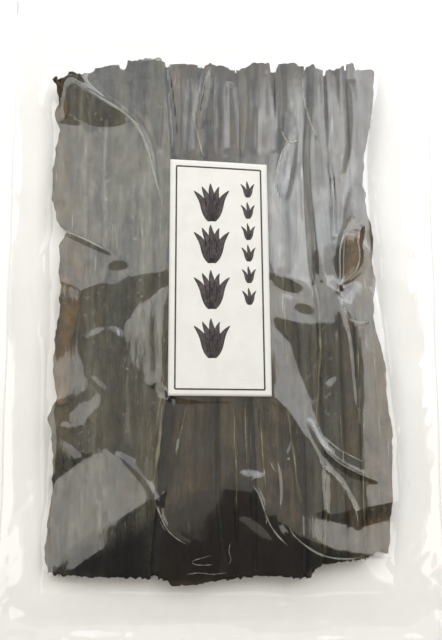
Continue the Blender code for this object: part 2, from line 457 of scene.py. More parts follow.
CREASES = (
    Line("groove_left_of_label", ((-25.5, 112), (-23.5, 100), (-22, 88), (-21, 76.5), (-20.5, 65.5)), 1.9, -0.8),
    Line("groove_top_1", ((-16, 112), (-14.5, 96), (-15.5, 80), (-16, 66)), 1.5, -0.2),
    Line("ridge_top_1", ((-19, 110), (-18, 92), (-18.5, 74)), 1.6, 0.15),
    Line("groove_top_2", ((-0.5, 110), (-1.5, 96), (-1, 82), (-2, 68)), 1.5, -0.2),
    Line("ridge_top_2", ((12, 106), (12.5, 92), (12, 78)), 1.6, 0.15),
    Line("groove_top_3", ((21, 108), (20, 94), (21, 80)), 1.5, -0.2),
    Line("ridge_top_3", ((31, 110), (30, 98), (31.5, 86)), 1.8, 0.2),
    Line("ridge_top_4", ((53.5, 108), (53, 96), (54, 82), (54.5, 66)), 1.8, 0.25),
    Line("groove_v", ((-7, 110), (-9, 98), (-11, 86)), 1.6, -0.6),
    Line("ridge_v", ((-4.5, 110), (-6.5, 98), (-8, 88.5), (-9.5, 79)), 1.4, 0.4),
    Line("groove_left_middle", ((3.5, 102), (4, 83.5), (3.5, 64)), 1.5, -0.45),
    Line("groove_middle", ((8, 100), (9, 81), (8.5, 64)), 1.5, -0.5),
    Line("ridge_middle", ((17, 90), (16.5, 74), (16.5, 62)), 1.3, 0.4),
    Line("groove_step", ((25, 113), (26, 95.5), (26, 78)), 1.8, -0.7),
    Line("groove_long", ((38, 92), (36.5, 71.5), (36.5, 55), (37, 39), (38, 25), (40, 5)), 1.4, -0.5),
    Line("groove_right", ((47, 110), (47, 93), (47, 77.5), (49, 62)), 1.6, -0.6),
    Line("groove_slant", ((58, 54), (55, 42), (52, 31)), 1.8, -0.25),
    Line("groove_leaf", ((34.5, 80), (32.5, 64.5), (29, 46)), 1.8, -0.5),
    Line("ridge_right", ((48, 76), (49, 64.5), (50.5, 50.5), (50.5, 39.5), (50, 28)), 1.4, 0.5),
    Line("ridge_far_right", ((60, 104), (61, 88), (60, 70), (56, 56)), 3.0, 0.6),
    Line("ridge_leaf", ((31, 76), (27.5, 68), (25, 59), (24.5, 51.5), (27, 44)), 1.6, 0.5),
    Line("ridge_long", ((42, 90), (39.5, 69), (40.5, 50), (42, 30), (45, 8)), 2.4, 0.5),
    Line("lower_left_crease", ((-75, -119), (-83, -124), (-97, -132)), 3.5, 1.0),
    Line("lower_right_crease", ((72, -112), (82, -119), (97, -129)), 3.5, 1.0),
    Line("corner_crease", ((-69, 104.5), (-53.5, 93), (-42.5, 86.5), (-37, 80), (-32.5, 68), (-28.5, 51.5), (-25, 40)), 2.6, 0.7),
    Line("notch_crease", ((-73, 33), (-68.5, 31.5), (-61, 28), (-47, 21)), 2.2, 0.35),
    Line("sliver", ((-19.5, -59), (-20.5, -68), (-23.5, -76), (-27, -87)), 2.0, -0.3),
    Line("groove_low_right", ((52.5, 4), (55.5, -7.5), (58, -17.5), (59, -31.5), (60, -48)), 1.4, -0.35),
    Line("spot", ((33, -59), (30.5, -64.5), (28.5, -69.5)), 2.2, -0.45),
    Line("curl_upper", ((61, 40), (56.5, 34), (53.5, 27.5), (52.5, 19), (53, 11.5), (51.5, 3)), 1.6, 0.7),
    Line("curl_lower", ((52, 6), (57, 10.5), (60.5, 14.5), (62, 20.5), (60.5, 26), (63, 35)), 1.6, 0.6),
    Line("dart_edge", ((38, -52), (42, -61), (45.5, -66), (51, -71), (58, -74.5), (68, -79)), 1.5, 0.5),
    Line("sail_line", ((41, -70), (47, -74), (51.5, -79), (56, -86.5), (58.5, -92.5), (59, -99)), 1.4, 0.5),
    Line("swirl_line", ((12, -78), (16, -83), (18, -89), (20, -95.5), (24, -101.5), (30, -107)), 1.6, 0.5),
    Line("drop_line", ((23, -67), (24.5, -77), (25, -86.5), (22.5, -94)), 1.6, 0.5),
    Line("hem_line", ((-28.5, -86), (-26, -92.5), (-23, -99), (-18.5, -103), (-12, -106)), 1.4, 0.5),
)

PINCHES = (
    Line("pinch_corner", ((-66, 101), (-53.5, 93), (-42.5, 86.5), (-37, 80), (-32.5, 68), (-28.5, 51.5), (-25, 40)), 1.5, 0.14),
    Line("pinch_hem", ((-28.5, -86.5), (-26, -92.5), (-23, -99), (-18.5, -103), (-13.5, -105.5)), 0.55, 0.25),
    Line("pinch_loop", ((-3.5, -109.5), (-8.5, -111), (-12.5, -112), (-12.5, -113.5), (-8, -114), (-2.5, -113.6)), 0.45, 0.2),
    Line("pinch_twig", ((4, -104), (3.2, -108.5), (4.6, -111.5), (3, -114)), 0.4, 0.2),
    Line("pinch_foot", ((-16, -118), (-9, -117), (-4, -118), (3, -117)), 0.4, 0.2),
    Line("pinch_tick", ((20.5, -68.5), (22, -72.5), (24.5, -76)), 0.5, 0.25),
    Line("pinch_right_hem", ((28.5, -95), (29.5, -100), (35, -105), (41, -109), (47.5, -111), (55.5, -111.5), (63, -110)), 0.9, 0.25),
    Line("pinch_dart", ((39, -54.5), (42, -61), (45.5, -66), (51, -71), (58, -74.5), (67.5, -79)), 0.55, 0.3),
    Line("pinch_dart_upper", ((41, -54), (45, -60), (50, -64.5), (56.5, -68), (63, -71)), 0.6, 0.24),
    Line("pinch_sail", ((41.5, -70.5), (47, -74), (51.5, -79), (56, -86.5), (58.5, -92.5), (59, -98.5)), 0.9, 0.26),
    Line("pinch_swirl", ((12.5, -79), (16, -83), (18, -89), (20, -95.5), (24, -101.5), (29.5, -106.5)), 0.8, 0.26),
    Line("pinch_curl", ((60.5, 39.5), (56.5, 34), (53.5, 27.5), (52.5, 19), (53, 11.5), (51.5, 4), (54, -1)), 0.9, 0.26),
    Line("pinch_curl_foot", ((53, 7), (57, 10.5), (60.5, 14.5), (62, 20.5), (60.5, 26)), 0.7, 0.28),
    Line("pinch_curl_low", ((54, -1), (55.5, -7.5), (60, -10), (67, -9)), 1.1, 0.08),
    Line("pinch_leaf", ((31, 75), (27.5, 68), (25, 59), (24.5, 51.5), (27, 45)), 1.0, 0.2),
    Line("pinch_right", ((48, 74), (49, 64.5), (50.5, 50.5), (50.5, 39.5), (50, 31)), 0.6, 0.22),
    Line("pinch_notch", ((-72, 33), (-68.5, 31.5), (-61, 28), (-50, 22.5)), 0.8, 0.12),
    Line("pinch_elbow", ((27, 79.5), (29, 74), (32, 72), (36, 74.5)), 0.9, 0.18),
    Line("pinch_top_right", ((38, 108), (37.5, 96), (40, 84), (44, 72)), 0.9, 0.12),
)


@dataclass
class BagForm:
    """Height of the bag over the table, from the frame's own size.

    Args:
        width: the bag's width.
        length: the bag's length.
    """

    width: float
    length: float

    def share(self, y: np.ndarray) -> np.ndarray:
        """Share of the bundle's length: 0 at the bottom end, 1 at the top end.

        Args:
            y: places along the bag.

        Returns:
            The share at each place.
        """
        return (y - BUNDLE_MIDDLE + BUNDLE_HALF_LENGTH) / (2 * BUNDLE_HALF_LENGTH)

    def edge(self, x: np.ndarray, y: np.ndarray) -> np.ndarray:
        """Half-width of the bundle on the side of x.

        Args:
            x: places across the bag.
            y: places along the bag.

        Returns:
            The half-width at each place.
        """
        share = self.share(y)
        return np.where(x < 0, along(LEFT_EDGE, share), along(RIGHT_EDGE, share)) * MM

    def cover(self, x: np.ndarray, y: np.ndarray, power: float) -> np.ndarray:
        """How far the film is lifted by the bundle: 1 over it and 0 at the rim.

        Args:
            x: places across the bag.
            y: places along the bag.
            power: how hollow the flank is, 1 for straight.

        Returns:
            The share of the lift at each place.
        """
        side = self.edge(x, y) + TAUT_PAST_SIDE * (1.3 + lattice(x * 0 + np.sign(x), y, (3, 15 * MM), 81))
        across = np.clip((self.width / 2 - np.abs(x)) / (self.width / 2 - side), 0.0, 1.0)
        from_middle = np.abs(y - BUNDLE_MIDDLE)
        seal = self.length / 2 - np.sign(y - BUNDLE_MIDDLE) * BUNDLE_MIDDLE - SEAL_BAND
        taut = BUNDLE_HALF_LENGTH + TAUT_PAST_END * (1.1 + 0.6 * lattice(x, np.sign(y) + y * 0, (19 * MM, 3), 82))
        over_end = np.clip((seal - from_middle) / (seal - taut), 0.0, 1.0)
        return across**power * over_end**power

    def held(self, x: np.ndarray, y: np.ndarray) -> np.ndarray:
        """Tell where the label holds the film flat.

        Args:
            x: places across the bag.
            y: places along the bag.

        Returns:
            1 under the label, easing to 0 outside it.
        """
        (left, _), (right, bottom), (_, top), _ = LABEL_CORNERS
        past = np.maximum.reduce([left * MM - x, x - right * MM, bottom * MM - y, y - top * MM])
        return 1.0 - ease(past / LABEL_FLAT_MARGIN)

    def seam(self, x: np.ndarray, y: np.ndarray) -> np.ndarray:
        """Height at which the two films meet round the rim.

        Args:
            x: places across the bag.
            y: places along the bag.

        Returns:
            The height at each place.
        """
        along_side = np.sin(y / self.length * 2 * math.pi * RIM_WAVES_ALONG + 0.7)
        across_end = np.sin(x / self.width * 2 * math.pi * RIM_WAVES_ACROSS + 2.1)
        sealed = 1.0 - ease((self.length / 2 - np.abs(y)) / (2 * SEAL_BAND))
        return RIM_LIFT + RIM_WAVE * (1.0 + along_side * (1.0 - sealed) + across_end * sealed) + SEAM_LIFT

    def backs(self, x: np.ndarray, y: np.ndarray) -> np.ndarray:
        """Rounded backs of the upper strips.

        Args:
            x: places across the bag.
            y: places along the bag.

        Returns:
            How far the backs stand up at each place.
        """
        relief = np.zeros_like(x)
        for bottom, top, half_width, proud in BACKS:
            middle = (bottom + (top - bottom) * self.share(y)) * MM
            offset = np.minimum(np.abs(x - middle) / (half_width * MM), 1.0)
            relief = np.maximum(relief, proud * MM * np.cos(offset * math.pi / 2) ** 0.8)
        return relief

    def plain(self, x: np.ndarray, y: np.ndarray, clinging: float) -> np.ndarray:
        """Height of the upper film without its folds.

        Args:
            x: places across the bag.
            y: places along the bag.
            clinging: how much of the strips' backs shows in the film.

        Returns:
            The height at each place.
        """
        side = self.edge(x, y)
        from_middle = np.abs(y - BUNDLE_MIDDLE)
        over = self.cover(x, y, FLANK_POWER)
        across = np.clip(1.0 - (x / side / CROWN_REACH) ** 2, 0.0, None)
        lengthwise = np.clip(1.0 - (from_middle / BUNDLE_HALF_LENGTH / CROWN_REACH) ** 4, 0.0, None)
        inner = ease((BUNDLE_HALF_LENGTH - from_middle) / (4 * SEAL_BAND))
        held = self.held(x, y)
        relief = clinging * self.backs(x, y) * over * (1.0 - held) + LABEL_RISE * held
        height = SHOULDER_HEIGHT - CUT_END_STEP * (1.0 - inner) + CROWN_HEIGHT * np.sqrt(across * lengthwise)
        seam = self.seam(x, y)
        return seam + (height - seam) * over + relief


class FilmSurface:
    """The upper film as a grid of heights, with its folds pulled in."""

    REACH = 16 * MM
    ROUNDS = 700

    def __init__(self, form: BagForm) -> None:
        """Work the surface out.

        Args:
            form: the bag's form.
        """
        self.form = form
        columns = BACK_TIMES_COARSER * round(form.width / FILM_STEP / BACK_TIMES_COARSER)
        rows = BACK_TIMES_COARSER * round(form.length / FILM_STEP / BACK_TIMES_COARSER)
        self.across = np.linspace(-form.width / 2, form.width / 2, columns + 1)
        self.up = np.linspace(-form.length / 2, form.length / 2, rows + 1)
        self.x, self.y = np.meshgrid(self.across, self.up)
        cling = Level.LOOSE.value + (Level.CLINGING.value - Level.LOOSE.value) * ease(self.y / (60 * MM) + 0.3)
        self.base = form.plain(self.x, self.y, cling)
        self.folds = self.pull_folds()
        self.folds += self.pull_creases()
        self.height = self.base + self.folds + self.wrinkles()
        LOG.info("film folds from %.1f to %.1f mm", self.folds.min() / MM, self.folds.max() / MM)

    def pull_folds(self) -> np.ndarray:
        """Find the relief that gives each fold its lean, and fades out beyond it.

        Returns:
            The relief on the grid.
        """
        step = self.across[1] - self.across[0]
        slope_y, slope_x = np.gradient(self.base, self.up, self.across)
        weight = np.ones_like(self.base)
        want_x = np.zeros_like(self.base)
        want_y = np.zeros_like(self.base)
        for fold in FOLDS:
            inside = self.soften(fold.covers(self.x, self.y).astype(float))
            weight += (fold.grip - weight) * inside
            want_x += (-fold.lean[0] - slope_x - want_x) * inside
            want_y += (-fold.lean[1] - slope_y - want_y) * inside
        free = (self.form.held(self.x, self.y) < 0.999).astype(float)
        free[0] = free[-1] = 0.0
        free[:, 0] = free[:, -1] = 0.0
        weight_x = (weight[:, 1:] + weight[:, :-1]) / 2
        weight_y = (weight[1:] + weight[:-1]) / 2
        stay = (step / self.REACH) ** 2

        def pull(rise_x: np.ndarray, rise_y: np.ndarray) -> np.ndarray:
            out = np.zeros_like(weight)
            out[:, :-1] -= weight_x * rise_x
            out[:, 1:] += weight_x * rise_x
            out[:-1] -= weight_y * rise_y
            out[1:] += weight_y * rise_y
            return out * free

        def spread(relief: np.ndarray) -> np.ndarray:
            steps = pull(relief[:, 1:] - relief[:, :-1], relief[1:] - relief[:-1])
            return steps + stay * relief * free

        target = pull(
            (want_x[:, 1:] + want_x[:, :-1]) / 2 * step,
            (want_y[1:] + want_y[:-1]) / 2 * step,
        )
        relief = np.zeros_like(target)
        left = target.copy()
        way = left.copy()
        size = float((left * left).sum())
        for _ in range(self.ROUNDS):
            moved = spread(way)
            pace = size / float((way * moved).sum() + 1e-30)
            relief += pace * way
            left -= pace * moved
            new_size = float((left * left).sum())
            if new_size < 1e-16:
                break
            way = left + way * (new_size / size)
            size = new_size
        return relief

    def pull_creases(self) -> np.ndarray:
        """Add up the sharp creases, which stop at the label.

        Returns:
            The relief on the grid.
        """
        relief = np.zeros_like(self.base)
        for crease in CREASES:
            relief += crease.relief(self.x, self.y)
        return relief * (1.0 - self.form.held(self.x, self.y))

    @staticmethod
    def soften(mask: np.ndarray) -> np.ndarray:
        """Soften a mask's edge by about one step.

        Args:
            mask: numbers on the grid.

        Returns:
            The softened numbers.
        """
        for axis in (0, 1):
            mask = (mask + np.roll(mask, 1, axis) + np.roll(mask, -1, axis)) / 3
        return mask

    def wrinkles(self) -> np.ndarray:
        """Fine unevenness of the loose film, least where it is taut over the bundle.

        Returns:
            The relief on the grid.
        """
        past_side = np.abs(self.x) - self.form.edge(self.x, self.y)
        past_end = np.abs(self.y - BUNDLE_MIDDLE) - BUNDLE_HALF_LENGTH
        to_side = self.form.width / 2 - np.abs(self.x)
        to_end = self.form.length / 2 - np.abs(self.y)
        loose = ease(np.maximum(past_side, past_end) / (9 * MM)) * ease(np.minimum(to_side, to_end) / (6 * MM))
        beside = ease((past_side - past_end) / (24 * MM) + 0.5)
        along_side = lattice(self.x, self.y, (7 * MM, 30 * MM), 5)
        bent = self.y + 6 * MM * lattice(self.x, self.y, (34 * MM, 60 * MM), 9)
        along_end = 1.3 * lattice(self.x, bent, (44 * MM, 5.5 * MM), 6)
        slanted = 0.5 - np.abs(lattice(self.x + np.abs(self.y), self.x - np.abs(self.y), (9 * MM, 30 * MM), 8))
        fine = lattice(self.x, self.y, (4.5 * MM, 6 * MM), 7)
        broad = along_side * beside + along_end * (1.0 - beside)
        return loose * MM * (0.5 * broad + 0.3 * slanted + 0.12 * fine)

    def read(self, x: np.ndarray, y: np.ndarray, heights: np.ndarray) -> np.ndarray:
        """Read a grid of heights between its points.

        Args:
            x: places across the bag.
            y: places along the bag.
            heights: numbers on the grid.

        Returns:
            The number at each place.
        """
        u = (x - self.across[0]) / (self.across[1] - self.across[0])
        v = (y - self.up[0]) / (self.up[1] - self.up[0])
        u = np.clip(u, 0.0, len(self.across) - 1.001)
        v = np.clip(v, 0.0, len(self.up) - 1.001)
        i = u.astype(int)
        j = v.astype(int)
        a = u - i
        b = v - j
        low = heights[j, i] * (1 - a) + heights[j, i + 1] * a
        high = heights[j + 1, i] * (1 - a) + heights[j + 1, i + 1] * a
        return low * (1 - b) + high * b

    def roof(self, x: np.ndarray, y: np.ndarray) -> np.ndarray:
        """Height that the kelp may reach under the film.

        Args:
            x: places across the bag.
            y: places along the bag.

        Returns:
            The height at each place.
        """
        return self.read(x, y, self.base + np.minimum(self.folds, 0.0)) - KELP_CLEARANCE


def sheet_mesh(name: str, columns: int, rows: int, place, attributes=None, rim_cuts: int = 0) -> bpy.types.Object:
    """Make a grid whose points a function places.

    Args:
        name: the piece's name.
        columns: faces across.
        rows: faces along.
        place: function of two arrays of shares from -1 to 1 that returns x, y and z.
        attributes: function of the same shares that returns named values for each point.
        rim_cuts: points to add on each edge of the rim.

    Returns:
        The new object, linked to the scene.
    """
    shape = bmesh.new()
    bmesh.ops.create_grid(shape, x_segments=columns, y_segments=rows, size=1.0)
    if rim_cuts:
        rim = [edge for edge in shape.edges if edge.is_boundary]
        bmesh.ops.subdivide_edges(shape, edges=rim, cuts=rim_cuts)
    mesh = bpy.data.meshes.new(name)
    shape.to_mesh(mesh)
    shape.free()
    points = np.empty(len(mesh.vertices) * 3)
    mesh.vertices.foreach_get("co", points)
    shares = points.reshape(-1, 3)
    u = shares[:, 0].copy()
    v = shares[:, 1].copy()
    x, y, z = place(u, v)
    mesh.vertices.foreach_set("co", np.column_stack([x, y, z]).ravel())
    if attributes is not None:
        for key, values in attributes(u, v).items():
            layer = mesh.attributes.new(key, "FLOAT", "POINT")
            layer.data.foreach_set("value", values.astype(np.float32))
    mesh.update()
    mesh.shade_smooth()
    piece = bpy.data.objects.new(name, mesh)
    bpy.context.scene.collection.objects.link(piece)
    return piece


def thicken(piece: bpy.types.Object, thickness: float, offset: float) -> None:
    """Give a sheet its thickness.

    Args:
        piece: the sheet.
        thickness: in metres.
        offset: -1 to grow below the sheet, 1 to grow above it.
    """
    solid = piece.modifiers.new("thickness", "SOLIDIFY")
    solid.thickness = thickness
    solid.offset = offset
    solid.use_even_offset = False


class FilmEnvelope:
    """The clear film: an upper and a lower sheet that meet all round the rim."""

    def __init__(self, surface: FilmSurface) -> None:
        """Keep the surface that the upper sheet follows.

        Args:
            surface: the upper film.
        """
        self.surface = surface
        self.form = surface.form

    def border(self, x: np.ndarray, y: np.ndarray) -> np.ndarray:
        """Distance to the nearest edge of the bag.

        Args:
            x: places across the bag.
            y: places along the bag.

        Returns:
            The distance at each place.
        """
        return np.minimum(self.form.width / 2 - np.abs(x), self.form.length / 2 - np.abs(y))

    def upper(self, u: np.ndarray, v: np.ndarray) -> tuple:
        """Place a point of the upper sheet.

        Args:
            u: shares across, from -1 to 1.
            v: shares along, from -1 to 1.

        Returns:
            Its x, y and z.
        """
        x = u * self.form.width / 2
        y = v * self.form.length / 2
        gap = FILM_GAP * ease(self.border(x, y) / (2 * MM))
        return x, y, self.surface.read(x, y, self.surface.height) + gap

    def lower(self, u: np.ndarray, v: np.ndarray) -> tuple:
        """Place a point of the lower sheet.

        Args:
            u: shares across, from -1 to 1.
            v: shares along, from -1 to 1.

        Returns:
            Its x, y and z.
        """
        x = u * self.form.width / 2
        y = v * self.form.length / 2
        over = self.form.cover(x, y, 1.0)
        top = self.surface.read(x, y, self.surface.height)
        z = self.form.seam(x, y) * (1.0 - over) + 0.2 * MM * over
        return x, y, np.minimum(z, top)

    def build(self) -> bpy.types.Object:
        """Make both sheets and weld them round the rim.

        Returns:
            The closed envelope.
        """
        columns = len(self.surface.across) - 1
        rows = len(self.surface.up) - 1
        bag = sheet_mesh("film", columns, rows, self.upper)
        times = BACK_TIMES_COARSER
        back = sheet_mesh("film_back", columns // times, rows // times, self.lower, rim_cuts=times - 1)
        for sheet, share in ((bag, 0.0), (back, 1.0)):
            layer = sheet.data.attributes.new("underside", "FLOAT", "POINT")
            layer.data.foreach_set("value", np.full(len(sheet.data.vertices), share, dtype=np.float32))
        shape = bmesh.new()
        shape.from_mesh(back.data)
        bmesh.ops.reverse_faces(shape, faces=shape.faces)
        shape.from_mesh(bag.data)
        rim = [vert for vert in shape.verts if vert.is_boundary]
        bmesh.ops.remove_doubles(shape, verts=rim, dist=0.02 * MM)
        shape.to_mesh(bag.data)
        shape.free()
        bag.data.shade_smooth()
        bpy.data.objects.remove(back)
        return bag

    def build_pinches(self) -> bpy.types.Object:
        """Make the places where the film is pinched into a thin standing line.

        Returns:
            The new piece.
        """
        pinches = []
        for pinch in PINCHES:
            line = smooth_path(pinch.path, 40)

            def place(u: np.ndarray, v: np.ndarray, pinch=pinch, line=line) -> tuple:
                middle, side = follow(line, (v + 1) / 2)
                fade = np.clip(1.0 - v**2, 0.02, 1.0) ** 0.5
                wobble = 0.7 + 0.3 * lattice(middle[0], middle[1], (2.2 * MM, 2.2 * MM), 31)
                fade = fade * wobble
                x = middle[0] + side[0] * u * pinch.width * MM * fade
                y = middle[1] + side[1] * u * pinch.width * MM * fade
                hump = np.sqrt(np.clip(1.0 - u**2, 0.0, 1.0)) * pinch.rise * MM * fade
                return x, y, self.surface.read(x, y, self.surface.height) + FILM_GAP + hump + 0.03 * MM

            piece = sheet_mesh(pinch.name, 10, 80, place, self.pinch_values)
            thicken(piece, 0.05 * MM, -1.0)
            pinches.append(piece)
        return join("film_pinches", pinches)

    @staticmethod
    def pinch_values(u: np.ndarray, v: np.ndarray) -> dict:
        """Give a pinch its named values.

        Args:
            u: shares across, from -1 to 1.
            v: shares along, from -1 to 1.

        Returns:
            How bunched up the film is, which sets its whitish colour and painted highlight, from 1 at the line's middle
            to 0 at its sides and ends.
        """
        return {"gathered_and_highlight": (1.0 - np.abs(u)) ** 1.3 * ease((1.0 - np.abs(v)) * 3.0)}


class Tone(Enum):
    """Colours that the kelp's blades come in."""

    OLIVE = "olive"
    BROWN = "brown"
    DARK = "dark"
    RUST = "rust"
    # Pale folded edges: partly their own colour, partly painted highlight.
    PALE_AND_HIGHLIGHT = "pale"


@dataclass(frozen=True)
class Blade:
    """One upper strip or pleat of kelp.

    Args:
        name: its name.
        left: its left edge at even steps from its bottom end to its top, in millimetres.
        right: its right edge at the same steps.
        tuck: how far its left and right edges dip, in millimetres.
        fray: how ragged its left and right edges are, in millimetres.
        bloom: how much pale powder it has, from 0 to 1.
        tone: its colour.
        thin: how much its left and right edges show their thin pale rim, from 0 to 1.
        rim: how wide that thin rim is, in millimetres.
        span: its bottom and top in millimetres, where it is shorter than the bundle.
        lift: how far it lies above the other upper strips, in millimetres.
    """

    name: str
    left: tuple
    right: tuple
    tuck: tuple = (1.2, 1.2)
    fray: tuple = (0.2, 0.2)
    bloom: float = 0.3
    tone: Tone = Tone.OLIVE
    thin: tuple = (0.25, 0.25)
    rim: float = 1.6
    span: tuple = ()
    lift: float = 0.0


BLADES = (
    Blade(
        "kelp_broad_left",
        (-75, -75),
        (-30.2, -27.3, -22.5, -22.4, -23.2, -26),
        tuck=(1.2, 0.1),
        fray=(1.3, 0.25),
        bloom=0.5,
        thin=(0.9, 0.5),
        rim=5.0,
    ),
    Blade(
        "kelp_pleat_1",
        (-27, -23.2, -20, -20.4, -21.2, -23.6),
        (0.2, -2.4, -2.6, -4.4, -8.1, -11),
        tuck=(2.0, 1.6),
        fray=(0.3, 0.3),
        bloom=0.2,
        tone=Tone.BROWN,
        thin=(0.5, 0.2),
    ),
    Blade(
        "kelp_pleat_2",
        (2.1, -0.7, -0.7, -1.8, -6.2, -7.7),
        (14, 12.6, 12.3, 13, 8.7, 6.5),
        tuck=(1.5, 1.2),
        bloom=0.2,
        tone=Tone.BROWN,
    ),
    Blade(
        "kelp_pleat_3",
        (15.7, 15.2, 12.8, 13.9, 9.3, 7.1),
        (35.3, 34.2, 33.9, 30.9, 25, 25.2),
        tuck=(1.1, 1.6),
        tone=Tone.BROWN,
    ),
    Blade(
        "kelp_pleat_4",
        (36.6, 36.6, 34.8, 31.6, 28.7, 26.6),
        (43, 43.4, 42.3, 40.2, 37, 38.6),
        tuck=(1.0, 0.1),
        fray=(0.15, 0.2),
        bloom=0.4,
        thin=(0.25, 0.6),
    ),
    Blade(
        "kelp_pleat_5",
        (44.2, 44.6, 43.6, 41.6, 38.4, 39.6),
        (54, 53.7, 52.4, 51.5, 49.2, 47.4),
        tuck=(1.8, 1.0),
        bloom=0.5,
    ),
    Blade(
        "kelp_pleat_6",
        (54.6, 53.9, 53, 52.6, 50, 48.6),
        (62.5, 61, 58.6, 58.2, 58.4, 57.4),
        bloom=0.5,
        tone=Tone.BROWN,
    ),
    Blade(
        "kelp_right",
        (62.9, 61.4, 59.2, 58.8, 59, 58.2),
        (72, 72),
        tuck=(1.2, 1.4),
        fray=(0.2, 1.0),
        bloom=0.5,
        tone=Tone.BROWN,
        thin=(0.3, 0.9),
        rim=4.0,
    ),
    Blade(
        "kelp_side_left",
        (-72.6, -73.4, -72.6, -71.2, -71.4, -72.6, -69),
        (-67, -65.6, -66.4, -63, -61.6, -60, -57.5),
        tuck=(0.9, 0.3),
        fray=(0.9, 1.1),
        bloom=0.25,
        tone=Tone.RUST,
        thin=(0.6, 0.4),
        rim=2.0,
        span=(-46, 31),
        lift=0.42,
    ),
    Blade(
        "kelp_corner_tip",
        (-73.8, -74.6, -75.4, -77.6),
        (-71.4, -70.6, -72.6, -77.1),
        tuck=(0.3, 0.3),
        fray=(0.2, 0.5),
        bloom=0.2,
        tone=Tone.RUST,
        thin=(0.6, 0.6),
        span=(86, 106.5),
        lift=0.42,
    ),
    Blade(
        "kelp_curl_right",
        (53.6, 54.4, 55.6, 57.4),
        (56.4, 61.2, 63.4, 59.6),
        tuck=(0.3, 0.3),
        fray=(0.5, 0.6),
        bloom=0.3,
        tone=Tone.RUST,
        thin=(0.7, 0.9),
        rim=2.6,
        span=(4, 40),
        lift=0.42,
    ),
)

# Folded strip edges that stand up as thin pale lines; their pale colour is partly painted highlight.
RIBS = (
    Line("rib_v_right", ((-4.5, 111), (-6.5, 98), (-8, 88.5), (-9.5, 80)), 0.55, 0.35),
    Line("rib_v_left", ((-13, 87), (-10.5, 76.5), (-8, 66)), 0.45, 0.35),
    Line("rib_top_middle", ((-3, 107), (-3.5, 93.5), (-3, 79)), 0.4, 0.3),
    Line("rib_bright", ((37.5, 22), (40.5, 11.5), (43, 0.5), (44, -17.5), (43, -35), (41.5, -48), (40.5, -62)), 0.6, 0.5),
    Line("rib_broad_left", ((-25.5, -43), (-26.5, -56.5), (-28, -71.5), (-29.5, -86)), 1.0, 0.4),
    Line("rib_broad_left_inner", ((-23, -10), (-24.5, -26), (-26.5, -43.5), (-28.4, -60)), 0.5, 0.35),
    Line("rib_right_long", ((62, -48), (61.5, -67.5), (61.5, -88.5), (62.5, -107.5)), 0.4, 0.3),
    Line("rib_low_right", ((45, -74), (45.5, -90.5), (44.5, -110)), 0.4, 0.3),
    Line("rib_short", ((52, -49), (52.5, -66)), 0.4, 0.3),
    Line("rib_right_upper", ((60, -17.5), (60.5, -35), (60.5, -54.5)), 0.4, 0.3),
    Line("rib_middle_1", ((16.5, -44), (17.5, -65), (19.5, -86.5)), 0.45, 0.3),
    Line("rib_middle_2", ((10.5, -44), (11, -74)), 0.35, 0.3),
    Line("rib_middle_3", ((5, -44), (6.5, -74), (7, -105.5)), 0.4, 0.3),
    Line("rib_left_middle", ((-14.5, -44.5), (-17, -56.5), (-19.5, -70.5)), 0.45, 0.3),
    Line("rib_middle_4", ((28.5, -46), (31, -65), (34, -88.5)), 0.4, 0.3),
    Line("rib_label_right", ((25, 40), (26.5, 20), (28, 0), (29, -30)), 0.35, 0.3),
    Line("rib_far_right", ((66, -4), (67, -25), (69, -45), (69.5, -70)), 0.45, 0.3),
)

# Streaks of dry powder: paths along the strips.
POWDER = (
    Line("powder_left", ((-53, 84), (-53, 60), (-51.5, 30)), 0.9, 1.0),
    Line("powder_left_edge", ((-63, 70), (-62, 45), (-60, 20)), 1.4, 0.5),
    Line("powder_left_low", ((-41.5, -25), (-41.5, -43), (-40.5, -62)), 1.2, 1.2),
    Line("powder_left_middle", ((-36, 60), (-37, 30), (-35, -5), (-36, -40)), 2.0, 0.5),
    Line("powder_near_label", ((-27.5, 40), (-28, 10), (-29, -30)), 1.2, 0.6),
    Line("powder_top", ((-40, 108), (-39, 95), (-38, 85)), 2.2, 0.35),
    Line("powder_sail", ((-52, -68), (-53, -85), (-52, -104)), 1.2, 0.8),
    Line("powder_right", ((57, 108), (58, 92), (57, 74)), 1.6, 0.5),
)

# Places where the strips show a warmer, thinner skin.
THIN_SPOTS = (
    Line("spot_left_upper", ((-75, 64), (-73.5, 50), (-72.5, 40)), 8.0, 1.0),
    Line("spot_left_notch", ((-72, 27), (-67, 22), (-62, 14)), 5.0, 0.6),
    Line("spot_left_middle", ((-70, 8), (-68, -6), (-67.5, -22)), 5.0, 0.9),
    Line("spot_left_low", ((-72, -30), (-70, -45), (-71, -62)), 5.0, 0.8),
    Line("spot_right", ((66, 34), (67, 15), (65, -5)), 5.5, 0.6),
    Line("spot_right_low", ((70, -20), (71, -45), (71, -70)), 5.0, 0.4),
    Line("spot_curl", ((57, 32), (59, 20), (57, 10)), 3.0, 0.9),
    Line("spot_mid", ((-33, -60), (-34, -75), (-37, -88)), 4.0, 0.2),
    Line("spot_foot", ((-21, -123), (-12, -122.5), (-4, -121)), 1.5, 0.9),
    Line("spot_foot_left", ((-74, -117), (-66, -119), (-50, -119.8)), 1.6, 0.6),
    Line("spot_foot_right", ((38, -118), (45, -114.5), (54, -112.6), (62, -111)), 1.5, 0.9),
)


@dataclass(frozen=True)
class Layer:
    """A lower layer of strips that lie side by side.

    Args:
        share: its height as a share of the upper strips' height.
        splits: where one strip ends and the next begins, in millimetres at the middle.
        lean: how far the splits move from the bottom end to the top, in millimetres.
        tone: its colour.
    """

    share: float
    splits: tuple
    lean: float
    tone: Tone


LAYERS = (
    Layer(0.84, (-38, -1, 29), 5.0, Tone.DARK),
    Layer(0.68, (-44, -12, 18, 46), -4.0, Tone.OLIVE),
    Layer(0.52, (-30, 6, 40), 3.0, Tone.BROWN),
    Layer(0.36, (-40, -8, 26), -5.0, Tone.DARK),
    Layer(0.2, (-48, -18, 12, 44), 4.0, Tone.OLIVE),
)


